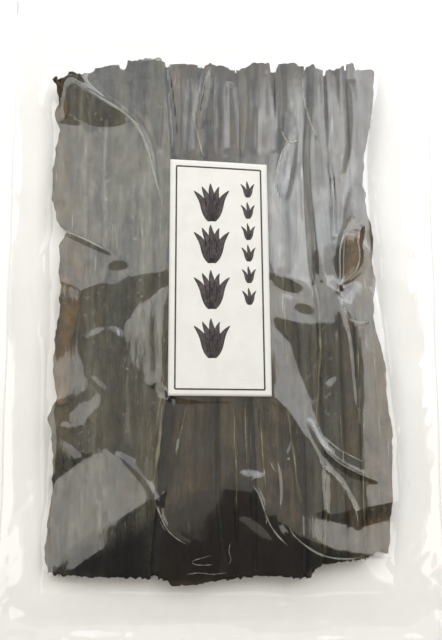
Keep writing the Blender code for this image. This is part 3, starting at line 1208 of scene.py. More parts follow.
class KelpBundle:
    """The strips of dried kelp that fill the bag."""

    THICKNESS = 1.35 * MM
    LOWER_THICKNESS = 1.25 * MM
    RIDGE = 1.1 * MM
    SHREDS = 150
    ACROSS_STEP = 0.85 * MM
    ALONG_STEP = 1.25 * MM

    def __init__(self, surface: FilmSurface, finishes: dict) -> None:
        """Keep what the strips follow and what they are finished in.

        Args:
            surface: the upper film.
            finishes: the material of each tone.
        """
        self.surface = surface
        self.form = surface.form
        self.finishes = finishes

    @staticmethod
    def side_line(points: tuple, outline: tuple, up: np.ndarray, y: np.ndarray) -> np.ndarray:
        """Read a strip's side, or the bundle's own side where the strip names only one place.

        Args:
            points: the strip's side at even steps.
            outline: the bundle's side as pairs of y and x.
            up: shares along the strip.
            y: places along the bag.

        Returns:
            The side's x at each place, in metres.
        """
        if len(points) > 2:
            return along(points, up) * MM
        spots = np.asarray(outline, dtype=float)
        return np.interp(y / MM, spots[:, 0], spots[:, 1]) * MM

    @staticmethod
    def end_line(outline: tuple, x: np.ndarray, seed: int, ragged: float) -> np.ndarray:
        """Read where the strips end, with torn fibres.

        Args:
            outline: the bundle's end as pairs of x and y.
            x: places across the bag.
            seed: which tears.
            ragged: how deep the tears are, in millimetres.

        Returns:
            The end's y at each place, in metres.
        """
        spots = np.asarray(outline, dtype=float)
        coarse = lattice(x, x * 0, (1.5 * MM, 1), seed)
        fine = lattice(x, x * 0, (0.7 * MM, 1), seed + 1)
        tears = np.round(1.6 * (0.6 * coarse + 0.5 * fine)) / 1.6
        return (np.interp(x / MM, spots[:, 0], spots[:, 1]) + ragged * tears) * MM

    def blade_shape(self, blade: Blade, seed: int):
        """Make the function that places an upper strip.

        Args:
            blade: the strip.
            seed: which relief it has.

        Returns:
            A function of shares across and along.
        """

        def place(u: np.ndarray, v: np.ndarray) -> tuple:
            across = (u + 1) / 2
            up = (v + 1) / 2
            if blade.span:
                foot = blade.span[0] * MM + 1.2 * MM * lattice(u, u * 0, (0.35, 1), seed)
                head = blade.span[1] * MM + 1.2 * MM * lattice(u, u * 0, (0.35, 1), seed + 1)
                relief = 0.3 * self.RIDGE
            else:
                ends = []
                for outline, end in ((BOTTOM_END, 0.0), (TOP_END, 1.0)):
                    corner = np.asarray(outline)[:, 1].mean() * MM
                    left = self.side_line(blade.left, LEFT_SIDE, u * 0 + end, u * 0 + corner)
                    right = self.side_line(blade.right, RIGHT_SIDE, u * 0 + end, u * 0 + corner)
                    ends.append(self.end_line(outline, left + (right - left) * across, 40, 0.85))
                foot, head = ends
                relief = self.RIDGE
            y = foot + (head - foot) * up
            left = self.side_line(blade.left, LEFT_SIDE, up, y)
            right = self.side_line(blade.right, RIGHT_SIDE, up, y)
            left = left - self.torn(y, seed) * blade.fray[0] * MM
            right = right + self.torn(y, seed + 1) * blade.fray[1] * MM
            x = left + (right - left) * across
            dip = np.where(u < 0, blade.tuck[0], blade.tuck[1]) * MM
            sunk = dip * np.clip((np.abs(u) - 0.25) / 0.75, 0.0, 1.0) ** 2.4
            level = self.surface.roof(x, y) + blade.lift * MM
            return x, y, level - sunk - (1.0 - self.ridge_and_shade(x, y, seed)) * relief

        return place

    @staticmethod
    def ridge_and_shade(x: np.ndarray, y: np.ndarray, seed: int) -> np.ndarray:
        """Lengthwise ridges and furrows that a strip dries into; its colour follows them too, as painted light on the
        ridges and painted shade in the furrows.

        Args:
            x: places across the bag.
            y: places along the bag.
            seed: which strip.

        Returns:
            0 in the furrows and 1 on the ridges.
        """
        drift = x + 1.6 * MM * lattice(x, y, (30 * MM, 42 * MM), seed + 4)
        fine = lattice(drift, y, (2.2 * MM, 60 * MM), seed + 2)
        broad = lattice(drift, y, (7.5 * MM, 48 * MM), seed + 3)
        return np.clip(0.5 + 0.3 * fine + 0.42 * broad, 0.0, 1.0)

    @staticmethod
    def torn(y: np.ndarray, seed: int) -> np.ndarray:
        """Raggedness of a cut or torn edge.

        Args:
            y: places along the edge.
            seed: which edge.

        Returns:
            How far the edge stands out, from about -1 to 1.
        """
        broad = lattice(y * 0, y, (1, 4.4 * MM), seed)
        fine = lattice(y * 0, y, (1, 1.7 * MM), seed + 7)
        return 0.7 * broad + 0.4 * fine

    def blade_values(self, blade: Blade, place, seed: int):
        """Make the function that gives an upper strip its named values.

        Args:
            blade: the strip.
            place: the function that places it.
            seed: which relief it has.

        Returns:
            A function of shares across and along.
        """

        def values(u: np.ndarray, v: np.ndarray) -> dict:
            x, y, _ = place(u, v)
            inward = (1.0 - np.abs(u)) * (x.max() - x.min()) / MM / 2
            side = np.where(u < 0, blade.thin[0], blade.thin[1])
            margin = side * np.clip(1.0 - inward / blade.rim, 0.0, 1.0)
            for spot in THIN_SPOTS:
                gap, _ = near_line(smooth_path(spot.path, 6), x, y)
                margin = np.maximum(margin, spot.rise * np.exp(-((gap / (spot.width * MM)) ** 2)))
            sunk = np.where(u < 0, blade.tuck[0], blade.tuck[1])
            # Painted shade: where an edge dips under its neighbour, the ridge value drops and the colour darkens; on
            # the ridges the colour is lighter (painted light), in the furrows darker (painted shade).
            shade = np.clip(sunk / 2.0, 0.0, 1.0) * np.clip(1.0 - inward / 2.4, 0.0, 1.0)
            ridge_and_shade = self.ridge_and_shade(x, y, seed) * (1.0 - shade)
            bloom = blade.bloom * (0.55 + 0.45 * lattice(x, y, (9 * MM, 30 * MM), seed + 5))
            for streak in POWDER:
                gap, _ = near_line(smooth_path(streak.path, 6), x, y)
                bloom = bloom + streak.rise * np.exp(-((gap / (streak.width * MM)) ** 2))
            # Darker towards the foot: partly the strips' own colour, partly painted shade.
            age_and_shade = self.age_and_shade(x, y) * (1.0 - 0.75 * margin)
            return {"margin": margin, "bloom": bloom, "ridge_and_shade": ridge_and_shade, "age_and_shade": age_and_shade}

        return values

    @staticmethod
    def age_and_shade(x: np.ndarray, y: np.ndarray) -> np.ndarray:
        """Tell how dark the lower ends of the strips are: partly their own darker colour where they are thick, partly
        painted shade.

        Args:
            x: places across the bag.
            y: places along the bag.

        Returns:
            0 along most of the strip, rising to 1 at its foot.
        """
        places = (-80, -45, -25, -5, 12, 30, 50, 80)
        starts = (-116, -104, -92, -80, -80, -100, -109, -112)
        start = np.interp(x / MM, places, starts)
        return ease((start - y / MM + 5.0) / 10.0)

    def build_upper(self) -> list:
        """Make the upper strips.

        Returns:
            The new pieces.
        """
        made = []
        for number, blade in enumerate(BLADES):
            width = (max(blade.right) - min(blade.left)) * MM
            length = (blade.span[1] - blade.span[0]) * MM if blade.span else 2 * BUNDLE_HALF_LENGTH
            columns = max(8, round(width / self.ACROSS_STEP))
            rows = round(length / self.ALONG_STEP)
            place = self.blade_shape(blade, 100 + 10 * number)
            values = self.blade_values(blade, place, 100 + 10 * number)
            piece = sheet_mesh(blade.name, columns, rows, place, values)
            thicken(piece, self.THICKNESS, -1.0)
            piece.data.materials.append(self.finishes[blade.tone])
            made.append(piece)
        return made

    def lower_shape(self, layer: Layer, first: float, last: float, seed: int):
        """Make the function that places a lower strip.

        Args:
            layer: its layer.
            first: its left edge in millimetres, or -1000 for the bundle's edge.
            last: its right edge in millimetres, or 1000 for the bundle's edge.
            seed: which relief it has.

        Returns:
            A function of shares across and along.
        """
        random = np.random.RandomState(seed).uniform(-1.0, 1.0, 6)

        def place(u: np.ndarray, v: np.ndarray) -> tuple:
            across = (u + 1) / 2
            middle = max(first, -75.0) * (1 - across) + min(last, 72.0) * across
            lean = layer.lean / 2
            head = self.end_line(TOP_END, (middle + lean) * MM, seed, 0.8) - (1.6 + 1.5 * random[0]) * MM
            foot = self.end_line(BOTTOM_END, (middle - lean) * MM, seed, 0.8) + (1.0 + 1.4 * random[1]) * MM
            y = foot + (head - foot) * (v + 1) / 2
            drift = layer.lean * (self.form.share(y) - 0.5) * MM
            side_left = self.side_line((), LEFT_SIDE, v, y) + (0.8 + 0.9 * random[2]) * MM
            side_right = self.side_line((), RIGHT_SIDE, v, y) - (0.8 + 0.9 * random[3]) * MM
            frill = 0.9 * MM
            left = side_left - frill * self.torn(y, seed + 1) if first < -900 else first * MM + drift + 0.9 * MM
            right = side_right + frill * self.torn(y, seed + 2) if last > 900 else last * MM + drift - 0.9 * MM
            x = left + (right - left) * across
            ridges = 0.5 + 0.5 * lattice(x, y, (4 * MM, 40 * MM), seed + 3)
            z = self.surface.roof(x, y) * layer.share - 0.25 * MM * ridges
            return x, y, z

        return place

    def build_lower(self) -> list:
        """Make the lower layers.

        Returns:
            The new pieces.
        """
        made = []
        for depth, layer in enumerate(LAYERS):
            stops = (-1000.0, *layer.splits, 1000.0)
            for number, (first, last) in enumerate(zip(stops, stops[1:])):
                seed = 400 + 40 * depth + 8 * number
                place = self.lower_shape(layer, first, last, seed)
                name = f"kelp_layer_{depth + 2}_{number + 1}"
                columns = round((min(last, 76.0) - max(first, -77.0)) / 1.2)
                piece = sheet_mesh(name, columns, 120, place, self.lower_values)
                thicken(piece, self.LOWER_THICKNESS, -1.0)
                piece.data.materials.append(self.finishes[layer.tone])
                made.append(piece)
        return made

    @staticmethod
    def lower_values(u: np.ndarray, v: np.ndarray) -> dict:
        """Give a lower strip its named values.

        Args:
            u: shares across, from -1 to 1.
            v: shares along, from -1 to 1; not used.

        Returns:
            The named values at each point.
        """
        margin = 0.6 * np.clip((np.abs(u) - 0.9) / 0.1, 0.0, 1.0)
        return {
            "margin": margin,
            "bloom": np.full(u.shape, 0.15),
            "ridge_and_shade": np.full(u.shape, 0.45),
            # The lower strips get a fixed share of the same darkening.
            "age_and_shade": np.full(u.shape, 0.3),
        }

    def build_ribs(self) -> bpy.types.Object:
        """Make the folded edges that stand up as thin pale lines; their pale colour is partly painted highlight.

        Returns:
            The new piece.
        """
        ribs = []
        for number, rib in enumerate(RIBS):
            line = smooth_path(rib.path, 40)

            def place(u: np.ndarray, v: np.ndarray, rib=rib, line=line, seed=600 + number) -> tuple:
                middle, side = follow(line, (v + 1) / 2)
                fade = ease((1.0 - np.abs(v)) * 3.0)
                rough = 0.75 + 0.5 * lattice(middle[0] * 0, middle[1], (1, 4 * MM), seed)
                wide = rib.width * MM * np.maximum(fade, 0.05) * rough
                sway = 0.4 * MM * lattice(middle[0] * 0, middle[1], (1, 9 * MM), seed + 1)
                x = middle[0] + side[0] * (u * wide + sway)
                y = middle[1] + side[1] * (u * wide + sway)
                hump = np.sqrt(np.clip(1.0 - u**2, 0.0, 1.0)) * rib.rise * MM * fade
                return x, y, self.surface.roof(x, y) + hump - 0.05 * MM - 0.7 * MM * (1.0 - fade)

            piece = sheet_mesh(rib.name, 5, 110, place, lambda u, v, place=place: self.rib_values(place, u, v))
            thicken(piece, self.THICKNESS, -1.0)
            ribs.append(piece)
        joined = join("kelp_ribs", ribs)
        joined.data.materials.append(self.finishes[Tone.PALE_AND_HIGHLIGHT])
        return joined

    def rib_values(self, place, u: np.ndarray, v: np.ndarray) -> dict:
        """Give a rib its named values.

        Args:
            place: the function that places the rib.
            u: shares across, from -1 to 1.
            v: shares along, from -1 to 1.

        Returns:
            The named values at each point.
        """
        x, y, _ = place(u, v)
        bright = 0.5 + 0.5 * lattice(x, y, (9 * MM, 7 * MM), 55)
        plain = np.zeros(u.shape)
        # Darker towards the foot: partly the rib's own colour, partly painted shade.
        age_and_shade = self.age_and_shade(x, y + 8 * MM)
        # The ridge value is highest along the rib's crest and falls towards its sides: painted highlight on the crest,
        # painted shade on the sides.
        return {"margin": plain, "bloom": 0.6 * bright, "ridge_and_shade": bright * (1.0 - 0.6 * u**2), "age_and_shade": age_and_shade}

    def build_shreds(self) -> bpy.types.Object:
        """Make the torn fibres that stick out of the strips' cut ends.

        Returns:
            The new piece.
        """
        random = np.random.RandomState(71)
        shreds = []
        for number in range(self.SHREDS):
            top = number % 2 == 0
            across = random.uniform(-72, 69)
            length = random.uniform(0.8, 2.6)
            wide = random.uniform(0.18, 0.45)
            lean = random.uniform(-0.5, 0.5)
            depth = random.uniform(0.45, 0.95)
            outline = TOP_END if top else BOTTOM_END
            start = float(self.end_line(outline, np.array([across * MM]), 40, 0.6)[0])
            way = 1.0 if top else -1.0

            def place(
                u: np.ndarray,
                v: np.ndarray,
                across=across,
                length=length,
                wide=wide,
                lean=lean,
                depth=depth,
                start=start,
                way=way,
            ) -> tuple:
                out = (v + 1) / 2
                x = (across + lean * length * out + u * way * wide * (1.1 - out)) * MM
                y = start + way * (length * out - 1.5) * MM
                z = self.surface.roof(x, y) * depth
                return x, y, np.maximum(z, 1.0 * MM)

            piece = sheet_mesh(f"shred_{number}", 2, 5, place, self.lower_values)
            thicken(piece, 0.3 * MM, -1.0)
            shreds.append(piece)
        joined = join("kelp_shreds", shreds)
        joined.data.materials.append(self.finishes[Tone.BROWN])
        return joined

    def build(self) -> list:
        """Make the whole bundle.

        Returns:
            The new pieces.
        """
        return self.build_upper() + self.build_lower() + [self.build_ribs(), self.build_shreds()]


class PaperLabel:
    """The paper label and what is printed on it."""

    GAP = 0.25 * MM
    THICKNESS = 0.16 * MM
    INK = 0.06 * MM
    LINE = 0.7 * MM

    def __init__(self, surface: FilmSurface) -> None:
        """Keep the film that the label lies on.

        Args:
            surface: the upper film.
        """
        self.surface = surface

    def spot(self, across: np.ndarray, up: np.ndarray) -> tuple:
        """Find a place on the label.

        Args:
            across: shares across, from 0 to 1.
            up: shares up the label, from 0 to 1.

        Returns:
            Its x and y.
        """
        result = []
        for axis in (0, 1):
            low_left, low_right, top_left, top_right = (corner[axis] * MM for corner in LABEL_CORNERS)
            low = low_left * (1 - across) + low_right * across
            top = top_left * (1 - across) + top_right * across
            result.append(low * (1 - up) + top * up)
        return tuple(result)

    def lift(self, x: np.ndarray, y: np.ndarray, extra: float) -> np.ndarray:
        """Height of the paper's upper face, and extra above it.

        Args:
            x: places across the bag.
            y: places along the bag.
            extra: height above the paper.

        Returns:
            The height at each place.
        """
        film = self.surface.read(x, y, self.surface.height) + FILM_GAP
        return film + self.GAP + self.THICKNESS + extra

    def build_paper(self) -> bpy.types.Object:
        """Make the paper.

        Returns:
            The new piece.
        """

        def place(u: np.ndarray, v: np.ndarray) -> tuple:
            x, y = self.spot((u + 1) / 2, (v + 1) / 2)
            return x, y, self.lift(x, y, 0.0)

        paper = sheet_mesh("label_paper", 36, 84, place)
        thicken(paper, self.THICKNESS, -1.0)
        return paper

    def stroke(self, name: str, path, width, steps: int) -> bpy.types.Object:
        """Make one printed mark along a path.

        Args:
            name: its name.
            path: function of shares from 0 to 1 that returns across and up in metres on the label.
            width: function of the same shares that returns the mark's width.
            steps: faces along it.

        Returns:
            The new piece.
        """

        def place(u: np.ndarray, v: np.ndarray) -> tuple:
            t = (v + 1) / 2
            a, b = path(t)
            a2, b2 = path(t + 0.01)
            length = np.hypot(a2 - a, b2 - b) + 1e-12
            side = u * width(t) / 2
            x = a + (b2 - b) / length * side
            y = b - (a2 - a) / length * side
            return x, y, self.lift(x, y, self.INK)

        mark = sheet_mesh(name, 4, steps, place)
        thicken(mark, self.INK * 0.6, -1.0)
        return mark

    def build_frame(self) -> list:
        """Make the thin printed frame.

        Returns:
            Its four sides.
        """
        across, up = 3.0 / 45, 2.9 / 105
        corners = ((across, up), (1 - across, up), (1 - across, 1 - up), (across, 1 - up))
        sides = []
        for number, (start, end) in enumerate(zip(corners, corners[1:] + corners[:1])):

            def path(t: np.ndarray, start=start, end=end) -> tuple:
                share_x = start[0] + (end[0] - start[0]) * t
                share_y = start[1] + (end[1] - start[1]) * t
                return self.spot(share_x, share_y)

            side = self.stroke(f"print_line_{number + 1}", path, lambda t: self.LINE + 0 * t, 60)
            sides.append(side)
        return sides

    def build_frond(self, name: str, middle: tuple, size: float, fans: tuple) -> list:
        """Make one printed motif: a tuft of swaying blades.

        Args:
            name: its name.
            middle: its middle on the label.
            size: its height.
            fans: how far each blade leans out, from -1 to 1.

        Returns:
            Its blades.
        """
        blades = []
        for number, fan in enumerate(fans):
            reach = size * (1.0 - 0.2 * abs(fan))

            def path(t: np.ndarray, fan=fan, reach=reach) -> tuple:
                sway = 0.06 * size * np.sin(t * 5.0 + fan * 1.4) * t
                a = middle[0] + fan * size * (0.07 + 0.36 * t**1.3) + sway
                b = middle[1] - size / 2 + reach * t
                return a, b

            def width(t: np.ndarray) -> np.ndarray:
                return size * 0.2 * np.sin(np.clip(t, 0.02, 0.99) ** 0.75 * math.pi) ** 0.7 + 0.12 * MM

            blades.append(self.stroke(f"{name}_{number + 1}", path, width, 28))
        return blades

    def build_marks(self) -> list:
        """Make everything printed inside the frame.

        Returns:
            The new pieces.
        """
        marks = []
        for number, up in enumerate((0.82, 0.64, 0.445, 0.24)):
            x, y = self.spot(np.array(0.43), np.array(up))
            place = (float(x), float(y))
            marks += self.build_frond(f"print_frond_{number + 1}", place, 17.5 * MM, (-1.0, -0.45, 0.05, 0.5, 1.0))
        for number in range(6):
            x, y = self.spot(np.array(0.8), np.array(0.885 - 0.093 * number))
            place = (float(x), float(y))
            marks += self.build_frond(f"print_sprig_{number + 1}", place, 7.6 * MM, (-0.9, 0.0, 0.9))
        return marks


def join(name: str, pieces: list) -> bpy.types.Object:
    """Join pieces of one finish into one object.

    Args:
        name: the new name.
        pieces: the pieces, with their modifiers.

    Returns:
        The joined object.
    """
    bpy.context.view_layer.update()
    graph = bpy.context.evaluated_depsgraph_get()
    shape = bmesh.new()
    for piece in pieces:
        shape.from_mesh(piece.evaluated_get(graph).to_mesh())
    mesh = bpy.data.meshes.new(name)
    shape.to_mesh(mesh)
    shape.free()
    for piece in pieces:
        bpy.data.objects.remove(piece)
    mesh.shade_smooth()
    joined = bpy.data.objects.new(name, mesh)
    bpy.context.scene.collection.objects.link(joined)
    return joined


class NodeTree:
    """A short way to build a material's nodes."""

    def __init__(self, name: str) -> None:
        """Start a material.

        Args:
            name: its name.
        """
        self.material = bpy.data.materials.new(name)
        self.material.use_nodes = True
        self.tree = self.material.node_tree
        self.shader = self.tree.nodes["Principled BSDF"]
        self.output = self.tree.nodes["Material Output"]

    def add(self, kind: str, **values) -> bpy.types.Node:
        """Add a node.

        Args:
            kind: the node's type.
            values: its own settings by name.

        Returns:
            The node.
        """
        node = self.tree.nodes.new(kind)
        for key, value in values.items():
            setattr(node, key, value)
        return node

    def link(self, source, target) -> None:
        """Link an output to an input.

        Args:
            source: the output socket.
            target: the input socket.
        """
        self.tree.links.new(source, target)

    def noise(self, stretch: tuple, scale: float, detail: float, roughness: float = 0.55):
        """Add a noise in the object's own coordinates.

        Args:
            stretch: how the noise is squeezed along x, y and z.
            scale: its scale.
            detail: its detail.
            roughness: how rough its detail is.

        Returns:
            Its output socket.
        """
        place = self.add("ShaderNodeTexCoord")
        mapping = self.add("ShaderNodeMapping")
        mapping.inputs["Scale"].default_value = stretch
        texture = self.add("ShaderNodeTexNoise")
        texture.inputs["Scale"].default_value = scale
        texture.inputs["Detail"].default_value = detail
        texture.inputs["Roughness"].default_value = roughness
        self.link(place.outputs["Object"], mapping.inputs["Vector"])
        self.link(mapping.outputs["Vector"], texture.inputs["Vector"])
        return texture.outputs["Fac"]

    def ramp(self, source, stops: tuple):
        """Turn a value into a colour.

        Args:
            source: the value's socket.
            stops: pairs of a place from 0 to 1 and a colour.

        Returns:
            The colour's socket.
        """
        node = self.add("ShaderNodeValToRGB")
        elements = node.color_ramp.elements
        while len(elements) < len(stops):
            elements.new(0.5)
        for element, (place, colour) in zip(elements, stops):
            element.position = place
            element.color = (*colour, 1.0)
        self.link(source, node.inputs["Fac"])
        return node.outputs["Color"]

    def span(self, source, low: float, high: float, to_low: float = 0.0, to_high: float = 1.0):
        """Map a value from one range to another, held within it.

        Args:
            source: the value's socket.
            low: the value that gives to_low.
            high: the value that gives to_high.
            to_low: result at low.
            to_high: result at high.

        Returns:
            The result's socket.
        """
        node = self.add("ShaderNodeMapRange")
        for key, value in zip(("From Min", "From Max", "To Min", "To Max"), (low, high, to_low, to_high)):
            node.inputs[key].default_value = value
        self.link(source, node.inputs["Value"])
        return node.outputs["Result"]

    def times(self, first, second):
        """Multiply two values.

        Args:
            first: a socket.
            second: a socket or a number.

        Returns:
            The product's socket.
        """
        node = self.add("ShaderNodeMath", operation="MULTIPLY")
        self.link(first, node.inputs[0])
        if isinstance(second, float):
            node.inputs[1].default_value = second
        else:
            self.link(second, node.inputs[1])
        return node.outputs[0]

    def plus(self, first, second):
        """Add two values.

        Args:
            first: a socket.
            second: a socket.

        Returns:
            The sum's socket.
        """
        node = self.add("ShaderNodeMath", operation="ADD")
        self.link(first, node.inputs[0])
        self.link(second, node.inputs[1])
        return node.outputs[0]

    def held(self, source):
        """Hold a value within 0 and 1.

        Args:
            source: the value's socket.

        Returns:
            The held value's socket.
        """
        return self.span(source, 0.0, 1.0)

    def blend(self, factor, first, second):
        """Blend a colour towards another one.

        Args:
            factor: how far, as a socket.
            first: the colour's socket.
            second: the other colour, as a socket or a fixed colour.

        Returns:
            The blended colour's socket.
        """
        node = self.add("ShaderNodeMix", data_type="RGBA")
        self.link(factor, node.inputs["Factor"])
        self.link(first, node.inputs[6])
        if isinstance(second, tuple):
            node.inputs[7].default_value = (*second, 1.0)
        else:
            self.link(second, node.inputs[7])
        return node.outputs[2]

    def bump(self, height, strength: float, distance: float, normal=None):
        """Turn a height into a bumped normal.

        Args:
            height: the height's socket.
            strength: its strength.
            distance: the height of one unit, in metres.
            normal: a normal to add it to.

        Returns:
            The normal's socket.
        """
        node = self.add("ShaderNodeBump")
        node.inputs["Strength"].default_value = strength
        node.inputs["Distance"].default_value = distance
        self.link(height, node.inputs["Height"])
        if normal is not None:
            self.link(normal, node.inputs["Normal"])
        return node.outputs["Normal"]


class KelpSkin(NodeTree):
    """The node group for the skin of dried kelp: streaks, mottling, powder, thin edges, a darker foot that is partly
    painted shade, and painted light and shade on the ridges and furrows.
    """

    COLOURS = ("Deep", "Body", "Light", "Powder", "Thin", "Aged_and_shaded")
    COOL = (0.024, 0.029, 0.03)

    def __init__(self) -> None:
        """Make the group."""
        self.tree = bpy.data.node_groups.new("kelp_skin", "ShaderNodeTree")
        for name in self.COLOURS:
            self.tree.interface.new_socket(name, in_out="INPUT", socket_type="NodeSocketColor")
        self.tree.interface.new_socket("Color", in_out="OUTPUT", socket_type="NodeSocketColor")
        self.tree.interface.new_socket("Roughness", in_out="OUTPUT", socket_type="NodeSocketFloat")
        self.tree.interface.new_socket("Normal", in_out="OUTPUT", socket_type="NodeSocketVector")
        given = self.add("NodeGroupInput").outputs
        result = self.add("NodeGroupOutput").inputs
        streaks = self.noise((1.0, 0.14, 0.5), 480, 5.0, 0.62)
        hairs = self.noise((1.0, 0.12, 0.5), 1300, 2.0)
        mottle = self.noise((1.0, 0.75, 1.0), 170, 8.0, 0.72)
        self.link(self.colours(given, streaks, hairs, mottle), result["Color"])
        self.link(self.span(streaks, 0.3, 0.7, 0.5, 0.68), result["Roughness"])
        pebble = self.noise((1.0, 0.5, 1.0), 700, 3.0)
        normal = self.bump(streaks, 0.8, 0.4 * MM)
        normal = self.bump(hairs, 0.5, 0.15 * MM, normal)
        self.link(self.bump(pebble, 0.2, 0.1 * MM, normal), result["Normal"])

    def value(self, name: str):
        """Read one of the mesh's named values.

        Args:
            name: its name.

        Returns:
            Its socket.
        """
        return self.add("ShaderNodeAttribute", attribute_name=name).outputs["Fac"]

    def colours(self, given, streaks, hairs, mottle):
        """Mix the skin's colours.

        Args:
            given: the group's own inputs.
            streaks: the broad lengthwise streaks.
            hairs: the fine lengthwise streaks.
            mottle: the cloudy patches.

        Returns:
            The colour's socket.
        """
        ridge_and_shade = self.value("ridge_and_shade")
        bloom = self.value("bloom")
        pores = self.noise((1.0, 0.8, 1.0), 820, 2.0)
        lines = self.plus(self.times(streaks, 0.24), self.times(hairs, 0.14))
        clouds = self.plus(self.times(mottle, 0.3), self.times(pores, 0.1))
        # The ridge value makes the colour lighter on the strips' ridges and darker in their furrows and tucked edges:
        # painted light and painted shade.
        grain = self.plus(self.times(ridge_and_shade, 0.22), self.plus(lines, clouds))
        colour = self.blend(self.span(grain, 0.38, 0.49), given["Deep"], given["Body"])
        colour = self.blend(self.span(grain, 0.48, 0.62), colour, given["Light"])
        hue = self.noise((1.0, 0.6, 1.0), 90, 5.0, 0.6)
        colour = self.blend(self.span(hue, 0.47, 0.62, 0.0, 0.32), colour, given["Thin"])
        cool = self.noise((1.0, 0.55, 1.0), 125, 5.0, 0.6)
        colour = self.blend(self.span(cool, 0.46, 0.62, 0.0, 0.5), colour, self.COOL)
        worn = self.times(self.value("margin"), self.span(mottle, 0.4, 0.58, 0.15, 1.0))
        colour = self.blend(worn, colour, given["Thin"])
        dusting = self.noise((1.0, 0.1, 0.5), 460, 6.0, 0.68)
        dust = self.times(self.span(dusting, 0.4, 0.68), bloom)
        dust = self.times(dust, self.span(ridge_and_shade, 0.0, 1.0, 0.45, 1.0))
        colour = self.blend(self.held(dust), colour, given["Powder"])
        specks = self.times(self.span(self.noise((1.0, 0.6, 1.0), 620, 1.5), 0.64, 0.71), bloom)
        colour = self.blend(self.held(specks), colour, given["Powder"])
        # Darker towards the foot: partly the strips' own colour, partly painted shade.
        return self.blend(self.times(self.value("age_and_shade"), 0.9), colour, given["Aged_and_shaded"])


@dataclass(frozen=True)
class KelpFinish:
    """Colours of one tone of dried kelp.

    Args:
        deep: its darkest colour.
        body: its main colour.
        light: its lightest colour.
        powder: the colour of the dry bloom on it.
        thin: the colour of its thin edges.
        aged_and_shaded: the colour of its thick lower end, partly painted shade.
    """

    deep: tuple
    body: tuple
    light: tuple
    powder: tuple
    thin: tuple
    aged_and_shaded: tuple = (0.003, 0.003, 0.0034)

    def build(self, name: str, skin: bpy.types.NodeTree) -> bpy.types.Material:
        """Make the material.

        Args:
            name: its name.
            skin: the node group of the kelp's skin.

        Returns:
            The material.
        """
        tree = NodeTree(name)
        group = tree.add("ShaderNodeGroup", node_tree=skin)
        colours = (self.deep, self.body, self.light, self.powder, self.thin, self.aged_and_shaded)
        for socket, colour in zip(KelpSkin.COLOURS, colours):
            group.inputs[socket].default_value = (*colour, 1.0)
        tree.link(group.outputs["Color"], tree.shader.inputs["Base Color"])
        tree.link(group.outputs["Roughness"], tree.shader.inputs["Roughness"])
        tree.link(group.outputs["Normal"], tree.shader.inputs["Normal"])
        tree.shader.inputs["Specular IOR Level"].default_value = 0.12
        return tree.material


KELP_FINISHES = {
    Tone.OLIVE: KelpFinish(
        (0.006, 0.0055, 0.004),
        (0.019, 0.017, 0.0105),
        (0.068, 0.062, 0.038),
        (0.23, 0.225, 0.185),
        (0.1, 0.068, 0.03),
    ),
    Tone.BROWN: KelpFinish(
        (0.008, 0.0055, 0.0035),
        (0.029, 0.021, 0.0115),
        (0.082, 0.062, 0.035),
        (0.2, 0.185, 0.15),
        (0.12, 0.074, 0.034),
        (0.0095, 0.0058, 0.0042),
    ),
    Tone.DARK: KelpFinish(
        (0.004, 0.0036, 0.003),
        (0.009, 0.008, 0.0065),
        (0.022, 0.019, 0.014),
        (0.1, 0.095, 0.085),
        (0.05, 0.034, 0.018),
    ),
    Tone.RUST: KelpFinish(
        (0.01, 0.0065, 0.004),
        (0.038, 0.0245, 0.0115),
        (0.1, 0.066, 0.031),
        (0.2, 0.18, 0.14),
        (0.15, 0.09, 0.036),
    ),
    Tone.PALE_AND_HIGHLIGHT: KelpFinish(
        (0.05, 0.043, 0.02),
        (0.12, 0.108, 0.055),
        (0.24, 0.222, 0.125),
        (0.34, 0.335, 0.26),
        (0.24, 0.21, 0.11),
    ),
}


